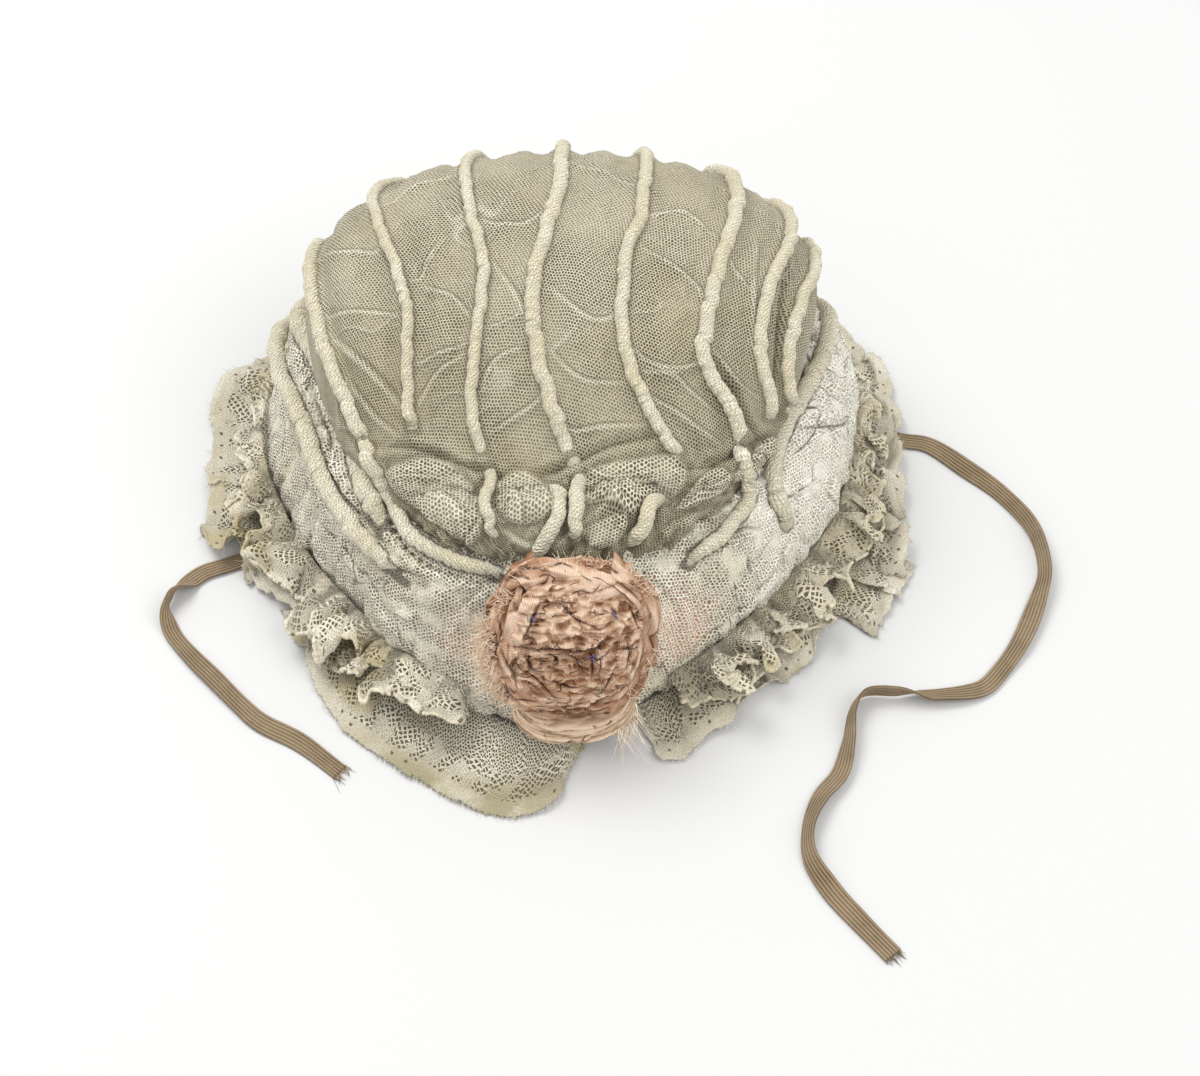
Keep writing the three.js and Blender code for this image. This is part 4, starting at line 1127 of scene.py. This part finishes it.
def tunnel(points):
    """Lift of the lace, in millimetres, over the hidden first length of each tie."""
    lift = np.zeros(points.shape[:-1])
    for start, end in ((LEFT_ROUTE[0], LEFT_ROUTE[3]), (RIGHT_ROUTE[0], RIGHT_ROUTE[2])):
        run = np.array(end, float) - start
        rel = points[..., :2] - start
        away = np.abs(rel[..., 0] * run[1] - rel[..., 1] * run[0]) / np.linalg.norm(run)
        ahead = rel @ run > -10 * np.linalg.norm(run)
        lift = np.maximum(lift, ahead * 2.0 * (1 - smooth(3.75, 9, away)))
    return lift


def ruffle_surface(degrees, out):
    """Strip from the roll (out 0) to its free edge (out 1).

    Straight line from roll to edge, dropped to the table by a soft step. Standing folds z = (1 + sin a) / 2
    swing sideways as sin 2a, so that each one laps over the next, and a crumple pushes all three ways. A low
    wave in the layer's height keeps two laps from lying in one plane. The second result is 1 deep in a fold,
    for painted shade there.
    """
    angle = np.radians(degrees)
    inner = roll_point(angle, np.full_like(angle, math.radians(-76)), 0.6)
    outer = ring(angle, read(RUFFLE_EDGE, 1, degrees), LACE_WALL / 2)
    crush = read(RUFFLE_EDGE, 2, degrees)
    points = inner + (outer - inner) * out[..., None]
    lies = 0.5 + (inner[..., 2] - 0.5) * (1 - smooth(0, 0.45, out))
    phase = 2 * math.pi * degrees / FOLD_SPACING
    phase = phase + 1.6 * np.sin(np.radians(5 * degrees)) + 1.1 * np.sin(2.2 * out)
    seat = points.copy()
    seat[..., 2] = 0
    size = 0.75 + 0.35 * crumple(seat, 30, 44)
    folds = crush * size * smooth(0.05, 0.8, out) * FOLD_HEIGHT * (0.5 + 0.5 * np.sin(phase))
    reach = smooth(0.0, 0.4, out) * (0.22 + crush)
    toss = np.stack([crumple(seat, 21, 40 + k) for k in range(3)], -1) * np.array([3.0, 3.0, 2.4])
    tiny = np.stack([crumple(seat, 9, 50 + k) for k in range(3)], -1) * 0.35
    tangent = unit(np.stack([np.cos(angle), np.sin(angle), 0 * angle], -1))
    away = unit(outer - inner)
    swing = 4.6 * crush * smooth(0.1, 0.9, out) * np.sin(2 * phase)
    curl = 1.8 * crush * smooth(0.4, 1, out) * np.cos(phase + 0.7)
    points = points + (toss + tiny) * reach[..., None] + tangent * swing[..., None] + away * curl[..., None]
    height = folds + (toss[..., 2] + tiny[..., 2]) * reach
    layer = 0.4 * (0.5 + 0.5 * np.sin(phase + 2 * out)) * smooth(0.1, 0.4, out)
    points[..., 2] = lies + np.maximum(height, tunnel(points) * smooth(0, 0.1, out)) + layer
    points[..., 2] = np.maximum(points[..., 2], 0.45 + layer + 0.15 * np.abs(tiny[..., 0]))
    deep = 1 - smooth(0.0, 0.45, (0.5 + 0.5 * np.sin(phase)))
    return points, deep * smooth(0.2, 0.8, crush) * (1 - 0.6 * out)


def strip_map(points, middle_column):
    """Thread coordinates of a strip: length along it, and distance from its free edge."""
    over = np.linalg.norm(np.diff(points, axis=1), axis=-1)
    down = np.linalg.norm(np.diff(points[:, middle_column], axis=0), axis=-1)
    along = np.broadcast_to(np.append(0, np.cumsum(down))[:, None], points.shape[:2])
    return np.stack([along, np.pad(np.cumsum(over, 1), ((0, 0), (1, 0)))], -1) * MM


def thicken(piece, thickness, offset=0.0):
    """Wall for a thin piece, on both sides of its surface, or under it where the offset is -1."""
    wall = piece.modifiers.new("wall", "SOLIDIFY")
    wall.thickness = thickness
    wall.offset = offset


RUFFLE_STATIONS = 1500
degrees, out = np.meshgrid(np.linspace(-346, 4, RUFFLE_STATIONS), np.linspace(1, 0, 28), indexing="ij")
# Picots: the edge is nibbled at random and in small scallops.
picots = 0.024 * np.random.default_rng(12).random((RUFFLE_STATIONS, 1))
picots = picots + 0.016 * np.abs(np.sin(np.radians(degrees[:, :1] * 200)))
ruffle, deep = ruffle_surface(degrees, out * (1 - picots * smooth(0.93, 1, out)))
# Olive-brown stain with painted fold shade near the front of the flounce, towards its edge.
aged = np.exp(-(((degrees + 4) / 8) ** 2)) * smooth(0.35, 0.8, out)
aged = aged + np.exp(-(((degrees + 18) / 15) ** 2)) * smooth(0.62, 0.95, out)
flounce = cloth_mesh("lace_flounce", ruffle * MM, strip_map(ruffle, 6), deep=deep, aged=np.minimum(aged, 1))
ruffle_material = lace_cloth("ruffle_lace", 4.2 * MM, ((0.78, 0.74, 0.62), (0.56, 0.515, 0.395)))
sew(flounce, ruffle_material, "ruffle_lace", "lace_ruffle")
thicken(flounce, LACE_THICKNESS)

# Loose threads along the free edge, one at every second station.
fray = np.random.default_rng(13)
edge, inside = ruffle[::2, 0], ruffle[::2, 3]
ways = unit(unit(edge - inside) + fray.normal(0, 0.5, edge.shape))
loose = hair_tufts("lace_fray", edge, ways, fray.uniform(0.5, 1.7, len(edge)), 0.08, 0.1, 91)
sew(loose, thread_cloth("lace_thread", (0.80, 0.75, 0.62), (0.52, 0.47, 0.35)), "ruffle_lace")


# Heading frill: the gathered head of the lace, left standing above the seam in curls, its hem rolled. It is
# in two lengths, left and right of the rosette.
CURL_SPACING = 10.5


def frill_surface(degrees, out, seed):
    """Strip along the roll's lower flank, in curls that swing sideways and up and fold over each other.

    The curls' phase a runs with the bearing, bent by two slower sines. The strip swings sideways as sin 2a,
    out as cos a and up as sin a, and is narrower and lower round the sides. The second result is 1 deep in a
    curl, for painted shade there.
    """
    round_side = np.abs(degrees)
    angle = np.radians(degrees)
    foot = roll_point(angle, np.full_like(angle, math.radians(-38)), 0.4)
    _, _, away, _, _ = roll_frame(angle)
    away = unit(away * np.array([1.0, 1.0, 0.1]))
    tangent = unit(np.stack([np.cos(angle), np.sin(angle), 0 * angle], -1))
    phase = 2 * math.pi * degrees / CURL_SPACING + 2.2 * np.sin(np.radians(9 * degrees))
    phase = phase + 1.2 * np.sin(np.radians(23 * degrees + 40)) + seed
    wild = 0.75 + 0.45 * np.sin(np.radians(17 * degrees) + seed)
    narrow = 1 - 0.5 * smooth(68, 92, round_side) - 0.2 * smooth(100, 114, round_side)
    points = foot + away * ((12.0 + 3.0 * np.sin(1.7 * phase)) * out * narrow)[..., None]
    swing = 4.4 * wild * np.sin(2 * phase + 0.5 + 1.2 * out) * smooth(0.1, 1, out)
    points = points + tangent * (swing * (1 - 0.5 * smooth(98, 112, round_side)))[..., None]
    points = points + away * (1.8 * np.cos(phase) * smooth(0.5, 1, out))[..., None]
    rise = 4.4 * wild * (1 - 0.7 * smooth(68, 92, round_side)) * np.sin(phase) + 0.5
    points[..., 2] += rise * np.sin(np.minimum(out, 0.8) * 2) - 2.5 * out**2
    toss = np.stack([crumple(points, 12, seed + 60 + k) for k in range(3)], -1) * 1.5
    deep = (1 - smooth(0.0, 0.6, 0.5 + 0.5 * np.sin(phase))) * (1 - 0.5 * out)
    return points + toss * smooth(0, 0.6, out)[..., None], deep


frill_material = lace_cloth("frill_lace", 1.2 * MM, ((0.84, 0.79, 0.65), (0.64, 0.58, 0.42)))
HEM_STEPS, HEM_SIDES = 2000, 8
for name, first, last, seed, node in (("frill_left", -124, -15, 1, "heading_frill_left"),
                                      ("frill_right", 20, 124, 5, "heading_frill_right")):
    degrees, out = np.meshgrid(np.linspace(first, last, 1000), np.linspace(1, 0, 20), indexing="ij")
    frill, deep = frill_surface(degrees, out, seed)
    uv = strip_map(frill, 3)
    piece = sew(cloth_mesh(name, frill * MM, uv, deep=deep), frill_material, "ruffle_lace", node)
    thicken(piece, LACE_THICKNESS)
    hem = curve_through(frill[:, 0], HEM_STEPS)
    ahead = unit(np.gradient(hem, axis=0))
    beside = unit(np.cross(ahead, [0.3, 0.2, 1.0]))
    above = np.cross(beside, ahead)
    turn = np.linspace(0, 2 * math.pi, HEM_SIDES, endpoint=False)
    thick = 0.5 + 0.12 * crumple(hem, 3, seed + 70)
    spoke = beside[:, None] * np.cos(turn)[:, None] + above[:, None] * np.sin(turn)[:, None]
    rolled = (hem[:, None] + thick[:, None, None] * spoke) * MM
    hem_uv = np.stack(np.broadcast_arrays(np.linspace(0, 0.4, HEM_STEPS)[:, None],
                                          np.full((1, HEM_SIDES + 1), 0.5 * MM)), -1)
    sew(cloth_mesh(name + "_hem", rolled, hem_uv, tube=True), frill_material, "ruffle_lace")


# Rosette: dusty pink silk ribbon wound flat and pleated, the inner turns over the outer ones, with frayed
# rust-brown edges. A loose loop of it hangs out below. It is sewn to the front of the roll.
ROSETTE_RADIUS = 23.0
ROSETTE_BEARING = 2.6
ROSETTE_RISE = 6.0
SILK_RIB = 0.55 * MM
middle, up, away, _, thick = roll_frame(np.array(math.radians(ROSETTE_BEARING)))
rosette_back = middle + away * (thick + 0.2) + up * ROSETTE_RISE
rosette_side = unit(np.cross(up, away))


def squared(radius, angle):
    """Radius pushed out toward four rounded corners, as the outline of the folded ribbon."""
    return radius * (1 + 0.055 * np.cos(4 * (angle - math.radians(38))))


def on_rosette(right, upward, off):
    """Rosette's own frame: to its right, up the slope, off the roll."""
    return rosette_back + right[..., None] * rosette_side + upward[..., None] * up + off[..., None] * away


def silk_cloth():
    """Dusty pink ribbon: fine ribs across, rust along the edges, dull sheen. Painted shade in the folds and
    creases, painted highlights on the crests and streaks.
    """
    material, tree, shader, thread, place = new_cloth("rosette_silk", 0.45, 0.05)
    split = part(tree, "ShaderNodeSeparateXYZ", _0=thread)
    along, across = split.outputs[0], split.outputs[1]
    bent = plus(tree, along, times(tree, noise(tree, thread, 160, 2), 2.2 * MM))
    weave = calc(tree, "SINE", times(tree, bent, 2 * math.pi / SILK_RIB))
    streak = noise(tree, vectors(tree, "MULTIPLY", thread, (0.12, 1.0, 1.0)), 1100, 3)
    patch = span(tree, noise(tree, place, 90, 4), 0.36, 0.66)
    stain = span(tree, noise(tree, place, 120, 3), 0.57, 0.70)
    rust = larger(tree, span(tree, across, 0.0, 1.3 * MM, 0.8, 0), stain)
    lines = creases(tree, vectors(tree, "MULTIPLY", thread, (0.28, 1.0, 1.0)), 330, 0.022)
    lines = times(tree, lines, span(tree, noise(tree, place, 260, 1), 0.50, 0.60))
    base = blend(tree, patch, (0.42, 0.240, 0.142), (0.53, 0.340, 0.220))
    base = blend(tree, times(tree, rust, 0.6), base, (0.40, 0.180, 0.066))
    # The tone mark: painted shade in rust-brown where it is low, painted highlight where it is high.
    tone = mark(tree, "tone")
    base = blend(tree, span(tree, tone, 0.10, -0.5, 0, 0.95), base, (0.22, 0.092, 0.036))
    base = blend(tree, span(tree, tone, 0.05, 0.50, 0, 0.7), base, (0.80, 0.61, 0.46))
    # Painted highlight on the raised streaks, painted shade on the sunken ones.
    base = blend(tree, span(tree, streak, 0.46, 0.68, 0, 0.6), base, (0.80, 0.61, 0.45))
    base = blend(tree, span(tree, streak, 0.30, 0.44, 0.35, 0), base, (0.29, 0.135, 0.068))
    base = blend(tree, span(tree, weave, -1, 1, 0, 0.18), base, (0.34, 0.175, 0.100))
    crest, dark = fold_lines(tree)
    # Painted highlight on the fold crests; the petal's own mark makes it paler.
    light = larger(tree, times(tree, crest, 0.6), mark(tree, "bleached"))
    base = blend(tree, light, base, (0.84, 0.69, 0.49))
    # Painted shade in folds and crease lines.
    dark = larger(tree, dark, times(tree, lines, 0.7))
    dark = larger(tree, dark, mark(tree, "deep"))
    base = blend(tree, times(tree, dark, 0.95), base, (0.060, 0.018, 0.007))
    tree.links.new(base, shader.inputs["Base Color"])
    height = plus(tree, times(tree, weave, 0.12), streak)
    height = minus(tree, height, times(tree, lines, 1.5))
    raise_threads(tree, shader, height, 0.45 * MM)
    return material


silk = silk_cloth()
# Long sharp creases of the wound ribbon: right and up the slope along each, depth, width.
SILK_CREASES = [
    ([(-16.8, 12), (-19.2, 9.5), (-20.9, 4.5), (-21.7, 0.2), (-21.9, -3)], -0.9, 0.50),
    ([(-14, 0.4), (-8.7, 0.4), (-5.4, 0.5), (-2.8, 0), (0.5, -0.7), (4.1, -0.2), (6.7, 1.6), (9, 3.8),
      (10.5, 4.4)], -1.2, 0.60),
    ([(-8.6, 13.2), (-5.6, 11.8), (-3.1, 11.3), (-1.2, 9.1), (0.8, 7.3), (3.5, 6.4), (5.8, 5.2),
      (9.2, 6.3)], -0.9, 0.50),
    ([(-10.6, -1), (-11.2, -3), (-10.6, -4.8), (-9.2, -5.4), (-7.2, -5.5)], -0.9, 0.45),
    ([(-14.3, -2), (-13.6, -4.8), (-11, -6.3), (-8.7, -8.4), (-6.4, -11.3), (-4.6, -13.2)], -1.0, 0.50),
    ([(-8.2, -7), (-3.8, -9.1), (-1.2, -10), (2.2, -9.6)], -0.8, 0.50),
    ([(3.6, -0.9), (3.9, -4.8), (3.6, -8.6)], -1.0, 0.45),
    ([(3.1, -0.9), (4.4, -2.7), (6.4, -2), (8.4, -0.3)], -0.8, 0.45),
    ([(-7.4, -1), (-5.1, -1.6), (-4.4, -3.4), (-6.3, -4.3)], -0.8, 0.45),
    ([(-3.1, -0.7), (-0.2, -2.3), (0.8, -4.8), (2.2, -6.4)], -0.7, 0.40),
    ([(5.6, -1.8), (5.8, -4.6), (5.2, -7.6)], -0.5, 0.35),
    ([(13.2, 9.4), (14.3, 6.6), (15.4, 3.4)], -1.0, 0.55),
    ([(12.3, 1.6), (13, -3), (12.2, -7)], -0.6, 0.40),
    ([(9.8, -4.8), (8.4, -8), (7, -11), (5.4, -13.4)], -0.8, 0.50),
    ([(18.4, 0), (19.4, -3.2), (19.6, -5.8)], -1.0, 0.60),
    ([(-3.2, -16), (-1, -16.3), (1.5, -17.1), (4.2, -16.4), (7, -15)], -1.1, 0.60),
    ([(-5.6, -18.9), (-1.8, -18.2), (2, -18.2)], -0.9, 0.50),
    ([(8.2, -14.4), (11.3, -13), (15, -10.6)], -0.8, 0.50),
    ([(-16.9, -8.8), (-16, -12), (-16.5, -14.6)], -0.9, 0.50),
    ([(-16, -12.4), (-13.3, -13.4), (-9.6, -13.9)], -0.8, 0.45),
    ([(-5.2, 19.2), (-2.1, 19.4), (0.4, 18.6)], -0.9, 0.50),
    ([(-2.4, 21.6), (1.8, 21.2), (5.4, 21.2), (9, 20.8)], -0.9, 0.50),
    ([(10.6, 20.6), (12.3, 20), (13.2, 18)], -0.9, 0.50),
    ([(-16, 15.4), (-13, 16.8), (-10.6, 17.4)], -1.0, 0.60),
    ([(-12.7, 18.2), (-8.4, 18.6), (-5.8, 18.2)], -0.8, 0.50),
    ([(-8.8, 15.6), (-6.4, 16), (-5.4, 17.4)], -0.8, 0.50),
    ([(-8.2, 13.6), (-9.7, 10.5), (-11.7, 6.3), (-13.2, 2.4)], 1.0, 1.30),
    ([(9.5, 15), (13.5, 11.5), (15.5, 9)], 0.9, 1.20),
    ([(-18, -1), (-16.6, -5), (-14.4, -9)], 0.8, 1.20),
    ([(2, 13.6), (4.6, 13.2), (6.4, 15)], -0.5, 0.40),
    ([(16.4, -2), (15.4, -6), (12.8, -10)], 0.8, 1.10),
]


def silk_creases(right, upward):
    """Relief and marks of the long creases, found in the plane of the rosette."""
    flat = np.stack([right, upward, 0 * right], -1)
    paths = [([(x, y, 0) for x, y in path], depth, width) for path, depth, width in SILK_CREASES]
    return press_folds(flat, np.zeros_like(flat) + [0, 0, 1], paths)


def crushed(seat, seed):
    """Facets of crushed silk, about -1 to 1: difference of two folded crumples."""
    first, second = np.abs(crumple(seat, 7, seed, 6)), np.abs(crumple(seat, 6, seed + 100, 6))
    return np.minimum(first, 1) - np.minimum(second, 1)


# Folded lengths of ribbon round the rim, the last four over the others: start and end angle, inner and outer
# radius, height inside and outside.
LAPS = [
    (-25, 62, 13.0, 22.0, 5.4, 1.2), (48, 128, 12.5, 21.6, 6.0, 1.8), (112, 182, 13.0, 22.2, 5.4, 1.2),
    (168, 245, 12.5, 22.0, 5.6, 1.0), (230, 300, 12.0, 21.2, 6.2, 1.6), (286, 345, 13.0, 21.8, 5.4, 1.2),
    (20, 84, 10.0, 18.8, 7.4, 4.4), (130, 196, 10.0, 18.6, 7.4, 4.6), (205, 262, 10.0, 18.8, 7.6, 4.6),
    (300, 352, 10.0, 18.2, 7.4, 4.6),
]
for number, (start, end, inner, outer, inside, outside) in enumerate(LAPS):
    part_way, t = np.meshgrid(np.linspace(0, 1, 170), np.linspace(0, 1, 60), indexing="ij")
    angle = np.radians(start + (end - start) * part_way)
    run = angle * (inner + outer) / 2
    flow = np.stack([run * 0.5, t * (outer - inner), 17.0 * number + 0 * t], -1)
    wobble = crumple(flow, 9, 70 + number)
    taper = smooth(0, 0.12, part_way) * (1 - smooth(0.88, 1, part_way))
    radius = squared(inner + (outer - inner) * t + 0.9 * wobble * (0.4 + t) + 0.8 * (1 - taper), angle)
    right, upward = radius * np.cos(angle), radius * np.sin(angle)
    ridges = crushed(flow, 80 + number)
    creased, marks = silk_creases(right, upward)
    off = inside + (outside - inside) * t**1.4 - 1.5 * smooth(0.86, 1, t)
    off = off + 0.6 * wobble - 1.3 * (1 - taper) + 0.7 * part_way + 1.1 * ridges + creased
    rim = 0.35 * smooth(0.45, 1, t) * (0.4 + 0.6 * np.abs(np.sin(angle)))
    uv = np.stack([run - run[0, 0], (1 - t) * (outer - inner)], -1) * MM
    # Tone: painted highlight on the ridges and painted shade in the valleys, darker towards the outer rim,
    # some laps lighter than others.
    lap = cloth_mesh(f"silk_lap_{number + 1}", on_rosette(right, upward, off) * MM, uv, flip=True,
                     tone=0.8 * ridges - rim - 0.2 * math.sin(4.1 * number), **marks)
    sew(lap, silk, "rosette_silk", *(["rosette"] if number == 0 else []))
    thicken(lap, 0.25 * MM)

# Crushed middle turns of the rosette, and the disc that the lengths are sewn to: reach, height at the rim and
# in the middle, roughness.
for name, reach, low, high, rough in (("silk_middle", 16.0, 6.2, 10.2, 1.0),
                                      ("silk_backing", 20.6, 0.8, 4.0, 0.6)):
    angle, t = np.meshgrid(np.linspace(0, 2 * math.pi, 300, endpoint=False), np.linspace(0.01, 1, 90),
                           indexing="ij")
    radius = squared(t * (reach + 0.9 * np.sin(3 * angle + 1) + 0.5 * np.sin(7 * angle)), angle)
    right, upward = radius * np.cos(angle), radius * np.sin(angle)
    seat = np.stack([right * 0.9, upward * 1.1], -1)
    ridges = crushed(seat, 95)
    creased, marks = silk_creases(right, upward)
    band = 1.2 * np.exp(-(((upward - 4.2) / 3.6) ** 4) - (right / 9) ** 4)
    hollow = 1.1 * np.exp(-(((upward + 4.6) / 4.4) ** 4) - ((right + 3.5) / 8.5) ** 4)
    rumpled = 1.1 * ridges + band - hollow + 0.5 * crumple(seat, 3.4, 97)
    off = low + (high - low) * (1 - t**2.6) + rough * rumpled + creased
    uv = np.stack([right + 0.2 * upward, 30 + upward], -1) * MM
    uv = np.concatenate([uv, uv[:1]], 0)
    # Tone: painted highlight on the ridges and the raised band, painted shade in the hollow below it.
    middle_turns = cloth_mesh(name, on_rosette(right, upward, off) * MM, uv, ring=True, flip=True,
                              tone=0.75 * ridges + 0.12 * band - 0.25 * hollow, **marks)
    sew(middle_turns, silk, "rosette_silk")
    thicken(middle_turns, 0.3 * MM, -1.0)

# Loose petal under the rosette, the end of the ribbon.
part_way, t = np.meshgrid(np.linspace(0, 1, 110), np.linspace(0, 1, 34), indexing="ij")
angle = np.radians(-132 + 84 * part_way)
flow = np.stack([angle * 5 + 4 * t, t * 15, 0 * t], -1)
ridges = crumple(flow, 4.2, 97)
fold = (1 - np.abs(ridges)) ** 3
ends = np.sin(math.pi * part_way) ** 0.6
radius = (ROSETTE_RADIUS + 1.0) * (0.80 + (0.10 + 0.30 * ends) * t) * (1 + 0.03 * np.sin(5 * angle))
off = 0.5 + 3.0 * np.sin(math.pi * t) * ends + 0.55 * ridges - 1.0 * fold * ends + 0.8 * t
petal = on_rosette(radius * np.cos(angle), radius * np.sin(angle), off)
petal_uv = np.stack([angle * 26, 2.5 + np.minimum(t, 1 - t) * 8], -1) * MM
# Painted shade in the folds and along the inner edge, under the rosette; elsewhere paler, the petal's own
# colour.
petal_piece = cloth_mesh("silk_petal", petal * MM, petal_uv, flip=True, deep=smooth(0.7, 1, fold) * 0.45,
                         bleached=0.35 * smooth(0.1, 0.4, t),
                         tone=0.35 - fold - 0.8 * (1 - smooth(0.05, 0.35, t)))
sew(petal_piece, silk, "rosette_silk", "rosette_petal")
thicken(petal_piece, 0.3 * MM)


# Frayed threads: silk fluff at the rosette's edge, the tail under its petal, and specks of dark blue thread
# caught in its folds.
draw = np.random.default_rng(5)
fluff = thread_cloth("silk_fluff", (0.80, 0.66, 0.50), (0.60, 0.43, 0.29))
# Tufts of fluff: middle angle, spread, radius, count, length.
TUFTS = [
    (186, 22, 22.0, 260, 5.0), (214, 14, 21.5, 160, 4.5), (40, 14, 22.0, 110, 4.0), (12, 12, 22.5, 60, 2.5),
    (150, 14, 21.5, 80, 3.0), (90, 40, 21.5, 120, 2.0), (-30, 20, 22.0, 60, 2.0),
]
for number, (middle_angle, spread, radius, count, length) in enumerate(TUFTS):
    angle = np.radians(middle_angle + spread * draw.uniform(-1, 1, count))
    radius = radius - draw.uniform(0, 3.5, count)
    roots = on_rosette(radius * np.cos(angle), radius * np.sin(angle), 2.5 + draw.uniform(0, 2, count))
    lean = angle + draw.normal(0, 0.7, count)
    ways = unit(on_rosette(np.cos(lean), np.sin(lean), draw.uniform(-0.3, 0.3, count)) - rosette_back)
    lengths = length * draw.uniform(0.4, 1.1, count)
    tuft = hair_tufts(f"silk_fluff_{number + 1}", roots, ways, lengths, 0.10, 0.15, 30 + number)
    sew(tuft, fluff, "rosette_silk")
# Specks: angle, radius, height.
blue = thread_cloth("blue_thread", (0.07, 0.06, 0.15), (0.16, 0.13, 0.26))
SPECK_THREADS = 9
for number, (place_angle, radius, height) in enumerate(((139, 12.8, 9.0), (42, 12.2, 9.0), (-23, 4.4, 10.8))):
    angle = np.radians(place_angle + draw.normal(0, 4, SPECK_THREADS))
    roots = on_rosette(radius * np.cos(angle), radius * np.sin(angle), np.full(SPECK_THREADS, height))
    ways = unit(draw.normal(size=(SPECK_THREADS, 3)) * np.array([1.0, 0.3, 0.6]))
    lengths = draw.uniform(1.0, 2.6, SPECK_THREADS)
    speck = hair_tufts(f"blue_speck_{number + 1}", roots, ways, lengths, 0.14, 0.3, 70 + number)
    sew(speck, blue, "rosette_silk")
# Tail: six threads from each of twelve places near the petal's right end.
roots = np.repeat(petal[84:108:2, -3], 6, 0)
count = len(roots)
roots = roots + draw.normal(0, 0.3, (count, 3))
ways = unit(np.array([0.25, -0.55, -1.0]) + draw.normal(0, 0.20, (count, 3)))
tail = hair_tufts("silk_tail", roots, ways, draw.uniform(2.5, 7.5, count), 0.13, 0.25, 60)
sew(tail, thread_cloth("silk_tail", (0.86, 0.76, 0.62), (0.66, 0.53, 0.40)), "rosette_silk")


# Table and light: a plain pale top, a soft light from behind on the left, a fill from the front on the right,
# and a bright even room.
floor_mesh = bpy.data.meshes.new("table_top")
floor_mesh.from_pydata([(-3, -3, 0), (3, -3, 0), (3, 3, 0), (-3, 3, 0)], [], [(0, 1, 2, 3)])
floor = bpy.data.objects.new("table_top", floor_mesh)
bpy.context.scene.collection.objects.link(floor)
floor_material = bpy.data.materials.new("pale_table")
floor_material.use_nodes = True
floor_shader = floor_material.node_tree.nodes["Principled BSDF"]
floor_shader.inputs["Base Color"].default_value = (0.62, 0.62, 0.615, 1)
floor_shader.inputs["Roughness"].default_value = 0.6
floor_mesh.materials.append(floor_material)

LAMPS = [("key", (-0.45, 0.40, 1.0), 0.6, 8.0), ("fill", (0.75, -0.45, 0.9), 0.9, 5.4)]
for name, place, size, power in LAMPS:
    light_data = bpy.data.lights.new(name, "AREA")
    light_data.size = size
    light_data.energy = power
    light = bpy.data.objects.new(name, light_data)
    light.location = place
    direction = np.array([0.0, 0.0, 0.03]) - place
    lean = math.acos(-direction[2] / np.linalg.norm(direction))
    light.rotation_euler = (lean, 0, math.atan2(direction[1], direction[0]) - math.pi / 2)
    bpy.context.scene.collection.objects.link(light)
world = bpy.data.worlds.new("room")
world.use_nodes = True
world.node_tree.nodes["Background"].inputs["Color"].default_value = (1.0, 1.0, 1.0, 1)
world.node_tree.nodes["Background"].inputs["Strength"].default_value = 0.92
bpy.context.scene.world = world
